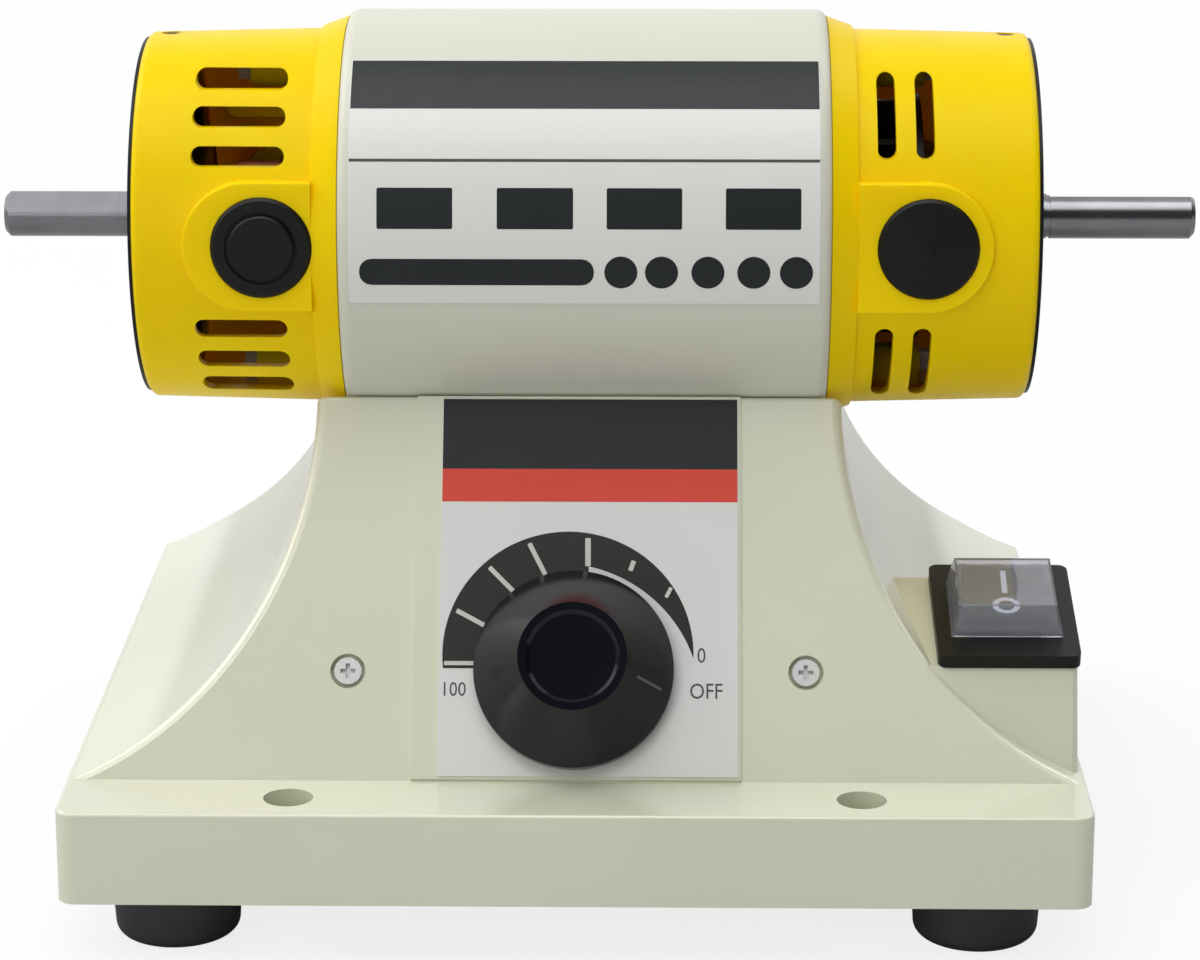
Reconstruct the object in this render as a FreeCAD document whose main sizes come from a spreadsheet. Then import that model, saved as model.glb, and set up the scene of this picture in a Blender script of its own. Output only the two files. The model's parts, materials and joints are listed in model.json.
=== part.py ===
import FreeCAD, Part
import Sketcher
import math
import os

# Dental polishing lathe: a universal motor with a spindle out of both ends, on a
# hollow die-cast base with a speed knob and a rocker switch.
# Frame: X runs along the spindle, Y from front to back, Z up; the origin lies on the
# bench, midway between the two spindle tips and midway between base front and back.
# Lengths are millimetres and angles are degrees.

DRIVING_SIZES = (
    # casting
    ("base_width", 216.0),
    ("base_depth", 192.0),
    ("slab_height", 20.2),
    ("slab_corner", 4.0),
    ("slab_edge", 0.8),
    ("base_wall", 4.0),
    ("strip_depth", 20.35),
    ("panel_top_reach", 31.6),
    ("panel_top_drop", 33.2),
    ("rear_knee", 8.0),
    ("rear_lean", 35.0),
    ("waist_half", 57.0),
    ("flank_radius", 77.0),
    ("flank_height", 106.0),
    ("flank_edge", 2.2),
    ("saddle_gap", 0.3),
    ("saddle_edge", 1.0),
    ("pad_width", 70.0),
    ("pad_rise", 0.5),
    ("pad_margin", 1.2),
    # bench bolts, feet and floor plate
    ("bench_pitch", 120.0),
    ("bench_inset", 10.1),
    ("bench_hole", 10.5),
    ("bench_boss", 18.0),
    ("foot_height", 13.7),
    ("foot_diameter", 28.0),
    ("foot_taper", 0.9),
    ("foot_round", 3.0),
    ("foot_inset_x", 22.8),
    ("foot_inset_y", 20.7),
    ("foot_recess", 13.0),
    ("foot_recess_depth", 7.0),
    ("foot_boss", 13.0),
    ("foot_screw", 5.0),
    ("foot_screw_depth", 10.0),
    ("foot_head", 9.2),
    ("foot_head_thick", 3.0),
    ("foot_washer", 12.0),
    ("foot_washer_thick", 1.0),
    ("plate_thickness", 1.2),
    ("plate_inset", 2.0),
    ("plate_gap", 0.2),
    # switch box
    ("box_setback", 5.8),
    ("box_front_lean", 18.0),
    ("box_front_height", 21.7),
    ("box_tilt", 13.5),
    ("box_length", 36.8),
    ("box_inset", 1.2),
    ("box_corner", 1.5),
    ("box_reach", 46.0),
    # rocker switch
    ("bezel_width", 30.4),
    ("bezel_length", 38.0),
    ("bezel_thick", 3.0),
    ("bezel_round", 2.0),
    ("switch_width", 21.4),
    ("switch_length", 27.0),
    ("switch_depth", 21.0),
    ("rocker_width", 17.4),
    ("rocker_length", 17.0),
    ("rocker_rise", 7.0),
    ("rocker_swing", 12.0),
    ("rocker_pivot", 1.5),
    ("rocker_gap", 0.4),
    ("pivot_pin", 2.6),
    ("pivot_reach", 1.2),
    ("boot_width", 24.0),
    ("boot_length", 22.6),
    ("boot_lean", 12.5),
    ("boot_height", 7.2),
    ("boot_wall", 0.6),
    ("blade_width", 6.3),
    ("blade_thick", 0.8),
    ("blade_length", 9.0),
    ("blade_pitch_x", 10.0),
    ("blade_pitch_y", 13.0),
    # speed control
    ("knob_x", -0.6),
    ("knob_up", 23.5),
    ("knob_diameter", 42.6),
    ("knob_top", 23.0),
    ("knob_height", 18.0),
    ("knob_rim", 2.6),
    ("knob_wall", 2.2),
    ("knob_dish", 0.8),
    ("knob_gap", 0.9),
    ("knob_hub", 11.0),
    ("pot_spindle", 6.0),
    ("pot_reach", 15.0),
    ("pot_bush", 10.0),
    ("pot_bush_reach", 6.5),
    ("pot_body", 24.0),
    ("pot_depth", 9.0),
    ("pot_nut", 14.0),
    ("pot_nut_thick", 2.2),
    ("label_width", 63.8),
    ("label_shift", 2.5),
    ("label_foot", 0.9),
    ("label_top_gap", 1.0),
    ("label_thick", 0.3),
    ("panel_screw_pitch", 97.7),
    ("panel_screw_up", 23.7),
    ("panel_screw", 3.0),
    ("panel_screw_head", 5.8),
    ("panel_screw_sink", 2.2),
    ("panel_screw_pocket", 7.5),
    ("panel_screw_length", 8.0),
    ("panel_nut", 5.5),
    ("panel_nut_thick", 2.4),
    ("bracket_width", 108.0),
    ("bracket_height", 30.0),
    ("bracket_thick", 1.5),
    ("board_width", 72.0),
    ("board_height", 46.0),
    ("board_thick", 1.6),
    ("board_gap", 14.0),
    ("board_post", 6.0),
    ("board_post_x", 32.0),
    ("board_post_y", 10.0),
    ("board_shift", 6.0),
    ("board_screw", 3.0),
    ("board_screw_head", 5.5),
    ("bracket_lip", 8.0),
    ("sink_width", 30.0),
    ("sink_height", 22.0),
    ("sink_depth", 14.0),
    ("sink_fin", 1.6),
    ("sink_fins", 5.0),
    ("sink_x", 12.5),
    ("capacitor_width", 18.0),
    ("capacitor_height", 8.0),
    ("capacitor_depth", 13.0),
    ("choke_x", 22.0),
    ("choke_diameter", 20.0),
    ("choke_wire", 7.0),
    # motor shell
    ("motor_y", -1.4),
    ("motor_z", 140.4),
    ("motor_turn", 2.3),
    ("sleeve_diameter", 91.0),
    ("sleeve_length", 105.0),
    ("sleeve_wall", 3.0),
    ("sleeve_round", 2.4),
    ("housing_diameter", 82.6),
    ("housing_wall", 3.0),
    ("housing_length", 44.2),
    ("housing_round", 1.5),
    ("housing_draft", 0.9),
    ("collar_width", 5.6),
    ("collar_step", 1.4),
    ("collar_lip", 0.8),
    ("spigot_depth", 5.0),
    ("spigot_wall", 3.0),
    ("spigot_gap", 0.1),
    ("end_seat_depth", 9.0),
    ("end_seat_step", 3.0),
    ("end_plate_diameter", 78.6),
    ("end_plate_rim", 0.7),
    ("end_plate_web", 2.6),
    ("end_plate_wall", 3.0),
    ("end_hole", 10.8),
    ("hub_wall", 4.0),
    ("bearing_cover", 4.2),
    ("motor_label_top_angle", 58.2),
    ("motor_label_foot_angle", -12.1),
    ("motor_label_margin", 2.6),
    ("motor_label_thick", 0.2),
    ("boss_diameter", 14.8),
    ("boss_rise", 1.8),
    ("vent_length", 20.0),
    ("vent_height", 4.2),
    ("vent_x", 73.9),
    ("vent_low", 18.6),
    ("vent_mid", 26.3),
    ("vent_top", 33.4),
    ("slot_width", 4.0),
    ("slot_x", 64.2),
    ("slot_pitch", 8.2),
    ("slot_low", 18.2),
    ("slot_high", 35.0),
    ("slot_foot", 36.3),
    ("slot_rear_length", 6.0),
    # spindle and bearings
    ("base_shift", 1.4),
    ("left_reach", 129.6),
    ("right_reach", 134.4),
    ("spindle_diameter", 10.0),
    ("core_diameter", 12.0),
    ("tip_chamfer", 1.0),
    ("flat_depth", 1.1),
    ("flat_length", 32.0),
    ("relief_width", 0.8),
    ("relief_depth", 0.3),
    ("left_flat_angle", 55.0),
    ("right_flat_angle", 110.0),
    ("bearing_outer", 30.0),
    ("bearing_width", 9.0),
    ("bearing_race", 2.6),
    ("bearing_step", 2.8),
    ("shield_thick", 0.5),
    ("shaft_gap", 0.05),
    # motor insides
    ("stack_length", 50.0),
    ("bore_diameter", 47.0),
    ("air_gap", 0.5),
    ("shoe_radius", 28.0),
    ("yoke_radius", 32.0),
    ("coil_angle", 122.0),
    ("tip_angle", 56.0),
    ("coil_gap", 0.4),
    ("coil_overhang", 11.0),
    ("coil_window", 60.0),
    ("armature_slots", 12.0),
    ("slot_radius", 18.0),
    ("slot_round", 5.0),
    ("slot_mouth", 2.0),
    ("winding_overhang", 12.0),
    ("winding_diameter", 41.0),
    ("brush_x", 68.7),
    ("commutator_diameter", 24.0),
    ("commutator_length", 18.0),
    ("riser_diameter", 27.0),
    ("riser_width", 2.5),
    ("segment_gap", 0.7),
    ("segment_depth", 1.2),
    ("fan_x", 66.0),
    ("fan_diameter", 54.0),
    ("fan_width", 14.0),
    ("fan_disc", 1.6),
    ("fan_hub", 20.0),
    ("fan_blade", 1.6),
    ("fan_blades", 9.0),
    # brushes, caps and plugs
    ("pad_half", 14.0),
    ("pad_reach", 0.6),
    ("pad_edge", 0.5),
    ("left_pad_shift", 3.0),
    ("cap_diameter", 21.5),
    ("cap_gap", 0.1),
    ("cap_sink", 4.5),
    ("cap_proud", 0.8),
    ("cap_round", 0.6),
    ("cap_button", 14.0),
    ("cap_groove", 0.8),
    ("plug_x", 73.0),
    ("plug_floor", 2.0),
    ("socket_diameter", 24.4),
    ("socket_depth", 20.0),
    ("holder_diameter", 17.0),
    ("brush_wide", 6.4),
    ("brush_deep", 9.0),
    ("brush_length", 15.0),
    ("brush_gap", 0.25),
    ("spring_diameter", 5.4),
    ("spring_wire", 0.7),
    ("spring_turns", 5.0),
    # fasteners of the motor
    ("bolt_radius", 34.0),
    ("bolt_diameter", 4.0),
    ("bolt_boss", 10.4),
    ("bolt_boss_end", 74.0),
    ("bolt_head", 7.0),
    ("bolt_head_thick", 2.8),
    ("rim_screw_inset", 5.4),
    ("rim_screw", 3.0),
    ("rim_screw_head", 5.0),
    ("rim_screw_sink", 1.6),
    ("rim_screw_length", 6.0),
    ("mount_pitch_x", 70.0),
    ("mount_pitch_y", 24.0),
    ("mount_screw", 5.0),
    ("mount_head", 8.5),
    ("mount_head_thick", 3.5),
    ("mount_washer", 11.0),
    ("mount_washer_thick", 1.0),
    ("mount_seat", 14.0),
    ("mount_seat_depth", 6.0),
    ("mount_entry", 4.5),
    ("lead_hole", 14.0),
    ("grommet_wall", 1.5),
    ("grommet_flange", 2.5),
    ("grommet_lip", 1.5),
    # cord inlet
    ("cord_x", 55.0),
    ("cord_height", 56.0),
    ("cord_bore", 7.5),
)

doc = FreeCAD.newDocument("polishing_lathe")
sheet = doc.addObject("Spreadsheet::Sheet", "Sizes")


class Size:
    """A number together with the expression that gives it in the spreadsheet."""

    def __init__(self, value, text):
        self.value = value
        self.text = text

    def __add__(self, other):
        other = as_size(other)
        return Size(self.value + other.value, "(%s + %s)" % (self.text, other.text))

    def __sub__(self, other):
        other = as_size(other)
        return Size(self.value - other.value, "(%s - %s)" % (self.text, other.text))

    def __mul__(self, other):
        other = as_size(other)
        return Size(self.value * other.value, "(%s * %s)" % (self.text, other.text))

    def __truediv__(self, other):
        other = as_size(other)
        return Size(self.value / other.value, "(%s / %s)" % (self.text, other.text))

    def __radd__(self, other):
        return as_size(other) + self

    def __rsub__(self, other):
        return as_size(other) - self

    def __rmul__(self, other):
        return as_size(other) * self

    def __neg__(self):
        return self * -1


def as_size(number):
    """Wraps a plain number, so that it can stand beside sizes in a sum."""
    if isinstance(number, Size):
        return number
    return Size(float(number), "(%s)" % repr(float(number)))


def sine(angle):
    return Size(math.sin(math.radians(angle.value)), "sin(%s)" % angle.text)


def cosine(angle):
    return Size(math.cos(math.radians(angle.value)), "cos(%s)" % angle.text)


def tangent(angle):
    return Size(math.tan(math.radians(angle.value)), "tan(%s)" % angle.text)


def arctangent(size):
    return Size(math.degrees(math.atan(size.value)), "(atan(%s) / 1 deg)" % size.text)


def root(size):
    return Size(math.sqrt(size.value), "sqrt(%s)" % size.text)


class Sizes:
    """The spreadsheet's rows as named sizes."""

    def __init__(self, rows):
        for row, (alias, value) in enumerate(rows, start=1):
            sheet.set("A%d" % row, alias.replace("_", " "))
            sheet.set("B%d" % row, repr(value))
            sheet.setAlias("B%d" % row, alias)
            setattr(self, alias, Size(value, "Sizes.%s" % alias))


S = Sizes(DRIVING_SIZES)
doc.recompute()

ZERO = as_size(0)


def bind(thing, path, size):
    thing.setExpression(path, as_size(size).text)


class Frame:
    """A place, and a turn about the X axis, in which pieces are laid out."""

    def __init__(self, x, y, z, turn=None):
        self.x, self.y, self.z, self.turn = x, y, z, turn

    def point(self, x, y, z):
        if self.turn is None:
            return self.x + x, self.y + y, self.z + z
        c, s = cosine(self.turn), sine(self.turn)
        return self.x + x, self.y + y * c - z * s, self.z + y * s + z * c

    def place(self, thing, x=ZERO, y=ZERO, z=ZERO):
        if self.turn is not None:
            rotation = FreeCAD.Rotation(FreeCAD.Vector(1, 0, 0), self.turn.value)
            thing.Placement = FreeCAD.Placement(FreeCAD.Vector(), rotation)
            bind(thing, "Placement.Rotation.Angle", self.turn)
        for axis, size in zip("xyz", self.point(x, y, z)):
            bind(thing, "Placement.Base.%s" % axis, size)
        return thing


# ---- sketches and features -------------------------------------------------------


def new_body(name):
    body = doc.addObject("PartDesign::Body", name)
    body.Label = name
    return body


def origin_part(body, role):
    return next(part for part in body.Origin.OriginFeatures if part.Role == role)


def new_sketch(body, name, role, offset=None):
    """A sketch on one of the body's own origin planes, moved along its normal."""
    sketch = body.newObject("Sketcher::SketchObject", name)
    sketch.AttachmentSupport = (origin_part(body, role), [""])
    sketch.MapMode = "FlatFace"
    if offset is not None:
        bind(sketch, "AttachmentOffset.Base.z", offset)
    return sketch


def hold(sketch, curve, point, x, y):
    """Fixes a point of a sketch by its two distances from the sketch's origin."""
    for kind, distance in (("DistanceX", as_size(x)), ("DistanceY", as_size(y))):
        rule = Sketcher.Constraint(kind, -1, 1, curve, point, distance.value)
        number = sketch.addConstraint(rule)
        sketch.setExpression("Constraints[%d]" % number, distance.text)


def polygon(sketch, corners):
    """Straight lines round the corners, each corner held by its own sizes."""
    corners = [(as_size(x), as_size(y)) for x, y in corners]
    spots = [FreeCAD.Vector(x.value, y.value, 0) for x, y in corners]
    first = sketch.GeometryCount
    count = len(spots)
    for index in range(count):
        sketch.addGeometry(Part.LineSegment(spots[index], spots[(index + 1) % count]), False)
    for index in range(count):
        after = first + (index + 1) % count
        sketch.addConstraint(Sketcher.Constraint("Coincident", first + index, 2, after, 1))
    for index, (x, y) in enumerate(corners):
        hold(sketch, first + index, 1, x, y)


def rectangle(sketch, x, y, width, height):
    """A rectangle centred on x, y."""
    x, y, w, h = as_size(x), as_size(y), as_size(width) / 2, as_size(height) / 2
    polygon(sketch, [(x - w, y - h), (x + w, y - h), (x + w, y + h), (x - w, y + h)])


def circle(sketch, x, y, diameter):
    x, y, diameter = as_size(x), as_size(y), as_size(diameter)
    centre = FreeCAD.Vector(x.value, y.value, 0)
    up = FreeCAD.Vector(0, 0, 1)
    curve = sketch.addGeometry(Part.Circle(centre, up, diameter.value / 2), False)
    hold(sketch, curve, 3, x, y)
    number = sketch.addConstraint(Sketcher.Constraint("Diameter", curve, diameter.value))
    sketch.setExpression("Constraints[%d]" % number, diameter.text)


def hexagon(sketch, x, y, across):
    """A regular hexagon, given by the distance across its flats."""
    corner = as_size(across) / root(as_size(3))
    turns = [as_size(60 * side) for side in range(6)]
    polygon(sketch, [(x + corner * cosine(t), y + corner * sine(t)) for t in turns])


def long_slot(sketch, x, y, length, height):
    """A slot with round ends, along the sketch's X, centred on x, y."""
    run = (length - height) / 2
    radius = height / 2
    left = FreeCAD.Vector((x - run).value, y.value, 0)
    right = FreeCAD.Vector((x + run).value, y.value, 0)
    close_slot(sketch, left, right, radius, (x - run, y), (x + run, y))


def tall_slot(sketch, x, low, high, width):
    """A slot with round ends, along the sketch's Y, from low to high."""
    radius = width / 2
    first = FreeCAD.Vector(x.value, (low + radius).value, 0)
    last = FreeCAD.Vector(x.value, (high - radius).value, 0)
    close_slot(sketch, first, last, radius, (x, low + radius), (x, high - radius))


def close_slot(sketch, first, last, radius, first_place, last_place):
    """Two half circles joined by two tangent lines."""
    along = (last - first).normalize()
    side = FreeCAD.Vector(-along.y, along.x, 0) * radius.value
    turn = math.atan2(along.y, along.x)
    up = FreeCAD.Vector(0, 0, 1)
    quarter = math.pi / 2
    start_round = Part.ArcOfCircle(
        Part.Circle(first, up, radius.value), turn + quarter, turn + 3 * quarter)
    end_round = Part.ArcOfCircle(
        Part.Circle(last, up, radius.value), turn - quarter, turn + quarter)
    a = sketch.addGeometry(start_round, False)
    b = sketch.addGeometry(Part.LineSegment(first - side, last - side), False)
    c = sketch.addGeometry(end_round, False)
    d = sketch.addGeometry(Part.LineSegment(last + side, first + side), False)
    for one, one_end, two, two_end in ((a, 2, b, 1), (b, 2, c, 1), (c, 2, d, 1), (d, 2, a, 1)):
        sketch.addConstraint(Sketcher.Constraint("Tangent", one, one_end, two, two_end))
    sketch.addConstraint(Sketcher.Constraint("Equal", a, c))
    hold(sketch, a, 3, *first_place)
    hold(sketch, c, 3, *last_place)
    number = sketch.addConstraint(Sketcher.Constraint("Radius", a, radius.value))
    sketch.setExpression("Constraints[%d]" % number, radius.text)


def pull(body, kind, name, sketch, length, symmetric=False, backwards=False):
    """A Pad or a Pocket of a sketch."""
    feature = body.newObject("PartDesign::%s" % kind, name)
    feature.Profile = sketch
    if symmetric:
        feature.SideType = "Symmetric"
    feature.Reversed = backwards
    bind(feature, "Length", length)
    return feature


def turn(body, kind, name, sketch, angle=None, axis="H_Axis"):
    """A Revolution or a Groove of a sketch about one of its own axes."""
    feature = body.newObject("PartDesign::%s" % kind, name)
    feature.Profile = sketch
    feature.ReferenceAxis = (sketch, [axis])
    if angle is not None:
        feature.Midplane = True
        bind(feature, "Angle", angle)
    return feature


def repeat_round(body, name, features, role, count):
    """Copies features evenly round one of the body's origin axes."""
    pattern = body.newObject("PartDesign::PolarPattern", name)
    pattern.Originals = features
    pattern.Axis = (origin_part(body, role), [""])
    bind(pattern, "Occurrences", count)
    body.Tip = pattern
    return pattern


def round_edges(body, kind, name, size, wanted):
    """A Fillet or a Chamfer of the edges of the body's last feature that are wanted."""
    doc.recompute()
    base = body.Tip
    edges = base.Shape.Edges
    names = ["Edge%d" % (i + 1) for i, edge in enumerate(edges) if wanted(edge)]
    if not names:
        raise ValueError("%s finds no edges" % name)
    feature = body.newObject("PartDesign::%s" % kind, name)
    feature.Base = (base, names)
    bind(feature, "Radius" if kind == "Fillet" else "Size", size)
    return feature


def is_ring(edge, radius):
    """True for a circular edge of this radius."""
    curve = edge.Curve
    return isinstance(curve, Part.Circle) and abs(curve.Radius - radius.value) < 0.01


def rod(name, frame, diameter, x, y, low, high):
    """A plain cylinder along a frame's Z, from low to high."""
    thing = doc.addObject("Part::Cylinder", name)
    bind(thing, "Radius", as_size(diameter) / 2)
    bind(thing, "Height", high - low)
    return frame.place(thing, as_size(x), as_size(y), as_size(low))


def block(name, frame, x, y, low, width, depth, high):
    """A plain box centred on x, y of a frame, from low to high along its Z."""
    thing = doc.addObject("Part::Box", name)
    width, depth = as_size(width), as_size(depth)
    bind(thing, "Length", width)
    bind(thing, "Width", depth)
    bind(thing, "Height", as_size(high) - low)
    return frame.place(thing, x - width / 2, y - depth / 2, as_size(low))


def fuse(name, things):
    result = doc.addObject("Part::MultiFuse", name)
    result.Shapes = things
    result.Refine = True
    result.Label = name
    return result


def cut(name, base, tools):
    result = doc.addObject("Part::Cut", name)
    result.Base = base
    result.Tool = tools[0] if len(tools) == 1 else fuse(name + "_tools", tools)
    result.Refine = True
    result.Label = name
    return result


PARTS = []


def keep(thing):
    """Marks a document object as a finished sub-part."""
    PARTS.append(thing)
    return thing


# ---- shared places ---------------------------------------------------------------

CLEAR = as_size(1.0)
motor_x = (S.left_reach - S.right_reach) / 2
base_x = motor_x - S.base_shift
half_width = S.base_width / 2
half_depth = S.base_depth / 2
slab_bottom = S.foot_height
slab_top = S.foot_height + S.slab_height
plate_top = slab_bottom + S.plate_thickness
panel_foot = S.strip_depth - half_depth
panel_depth = S.motor_y - S.panel_top_reach - panel_foot
panel_rise = S.motor_z - S.panel_top_drop - slab_top
panel_lean = arctangent(panel_depth / panel_rise)
panel_length = panel_rise / cosine(panel_lean)
label_length = panel_length - S.label_foot - S.label_top_gap
flank_x = S.waist_half + S.flank_radius
sleeve_radius = S.sleeve_diameter / 2
housing_radius = S.housing_diameter / 2
seat_drop = sleeve_radius + S.mount_seat_depth

WORLD = Frame(ZERO, ZERO, ZERO)
BASE = Frame(base_x, ZERO, ZERO)
MOTOR = Frame(motor_x, S.motor_y, S.motor_z)
HOUSING = Frame(motor_x, S.motor_y, S.motor_z, 360 - S.motor_turn)
PANEL = Frame(base_x, panel_foot, slab_top, 90 - panel_lean)
KNOB = Frame(*PANEL.point(S.knob_x, S.knob_up, ZERO), 90 - panel_lean)

foot_x = half_width - S.foot_inset_x
foot_y = half_depth - S.foot_inset_y
FOOT_SPOTS = [(foot_x * i, foot_y * j) for i in (-1, 1) for j in (-1, 1)]
BENCH_SPOTS = [(S.bench_pitch / 2 * i, S.bench_inset - half_depth) for i in (-1, 1)]
MOUNT_SPOTS = [
    (S.mount_pitch_x / 2 * i, S.mount_pitch_y / 2 * j) for i in (-1, 1) for j in (-1, 1)]
PANEL_SCREW_SPOTS = [(S.panel_screw_pitch / 2 * i, S.panel_screw_up) for i in (-1, 1)]

box_foot = panel_foot + S.box_setback
box_front = box_foot + tangent(S.box_front_lean) * S.box_front_height
box_front_top = slab_top + S.box_front_height
box_rear = box_front + S.box_length * cosine(S.box_tilt)
box_rear_top = box_front_top + S.box_length * sine(S.box_tilt)
box_right = half_width - S.box_inset
bezel_x = box_right + S.box_inset / 2 - S.bezel_width / 2
SWITCH = Frame(
    base_x + bezel_x, (box_front + box_rear) / 2, (box_front_top + box_rear_top) / 2,
    S.box_tilt)

rear_knee_z = slab_top + S.rear_knee
cord_drop = S.cord_height - rear_knee_z
cord_y = half_depth - tangent(S.rear_lean) * cord_drop
REAR = Frame(base_x + S.cord_x, cord_y, S.cord_height, 270 + S.rear_lean)

FRONT_BRUSH = Frame(motor_x - S.brush_x, S.motor_y, S.motor_z, 90 - S.motor_turn)
REAR_BRUSH = Frame(motor_x - S.brush_x, S.motor_y, S.motor_z, 270 - S.motor_turn)
PLUGS = Frame(motor_x + S.plug_x, S.motor_y, S.motor_z, 90 - S.motor_turn)


# ---- base casting ----------------------------------------------------------------


def pedestal(body, inset, bottom):
    """The flared pedestal under the saddle, with every face moved inwards by inset."""
    front_shift = inset / cosine(panel_lean)
    rear_shift = inset / cosine(S.rear_lean)
    front = panel_foot + front_shift
    back = half_depth - inset
    top = S.motor_z
    side = half_width - inset

    plan = new_sketch(body, body.Name + "_plan", "XY_Plane", bottom)
    front_edge = front - tangent(panel_lean) * (slab_top - bottom)
    polygon(plan, [
        (base_x - side, front_edge), (base_x + side, front_edge),
        (base_x + side, back), (base_x - side, back)])
    pull(body, "Pad", body.Name + "_block", plan, top - bottom)

    sides = new_sketch(body, body.Name + "_flanks", "XZ_Plane")
    for way in (-1, 1):
        circle(sides, base_x + flank_x * way, S.flank_height, (S.flank_radius + inset) * 2)
    pull(body, "Pocket", body.Name + "_flank_cut", sides, S.base_depth * 2, symmetric=True)

    slopes = new_sketch(body, body.Name + "_slopes", "YZ_Plane")
    reach = top + CLEAR
    front_top = front + tangent(panel_lean) * (reach - slab_top)
    polygon(slopes, [
        (front_edge, bottom), (front_top, reach),
        (front_edge - CLEAR, reach), (front_edge - CLEAR, bottom)])
    knee = half_depth - rear_shift + tangent(S.rear_lean) * (rear_knee_z - bottom)
    rear_top = half_depth - rear_shift - tangent(S.rear_lean) * (reach - rear_knee_z)
    polygon(slopes, [
        (knee, bottom), (rear_top, reach), (knee + CLEAR, reach), (knee + CLEAR, bottom)])
    pull(body, "Pocket", body.Name + "_slope_cut", slopes, S.base_width * 2, symmetric=True)

    saddle = new_sketch(body, body.Name + "_saddle", "YZ_Plane")
    circle(saddle, S.motor_y, S.motor_z, (sleeve_radius + S.saddle_gap + inset) * 2)
    pull(body, "Pocket", body.Name + "_saddle_cut", saddle, S.base_width * 2, symmetric=True)


def on_flank(edge):
    """True for the long edges between a flank and the sloping front or rear face."""
    box = edge.BoundBox
    tall = box.ZLength > S.slab_height.value * 2
    wide = box.XLength > S.slab_height.value
    return tall and wide and box.YLength > S.slab_height.value


def on_saddle_rim(edge):
    """True for the long straight edges where the saddle meets the front and rear faces."""
    box = edge.BoundBox
    return box.XLength > S.waist_half.value and box.ZLength < 0.01 and box.ZMin > slab_top.value * 2


def switch_box(body, inset, bottom):
    """The box on the right flank that carries the rocker switch."""
    top_shift = inset / cosine(S.box_tilt)
    front = box_foot + inset / cosine(S.box_front_lean)
    lean = tangent(S.box_front_lean)
    slope = tangent(S.box_tilt)
    back = box_rear - inset
    low = front - lean * (slab_top - bottom)
    rise = (box_front_top - top_shift + slope * (front - box_front) - slab_top) / (1 - slope * lean)
    top_front = front + lean * rise
    outline = new_sketch(body, body.Name + "_box_side", "YZ_Plane", base_x + S.box_reach)
    polygon(outline, [
        (low, bottom), (top_front, slab_top + rise),
        (back, box_front_top - top_shift + slope * (back - box_front)), (back, bottom)])
    pull(body, "Pad", body.Name + "_box", outline, box_right - inset - S.box_reach)


def on_box_corner(edge):
    """True for the two right-hand upright edges of the switch box."""
    box = edge.BoundBox
    right = (base_x + box_right).value
    return abs(box.XMin - right) < 0.01 and abs(box.XMax - right) < 0.01 and (
        box.ZLength > S.box_front_height.value / 2)


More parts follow.
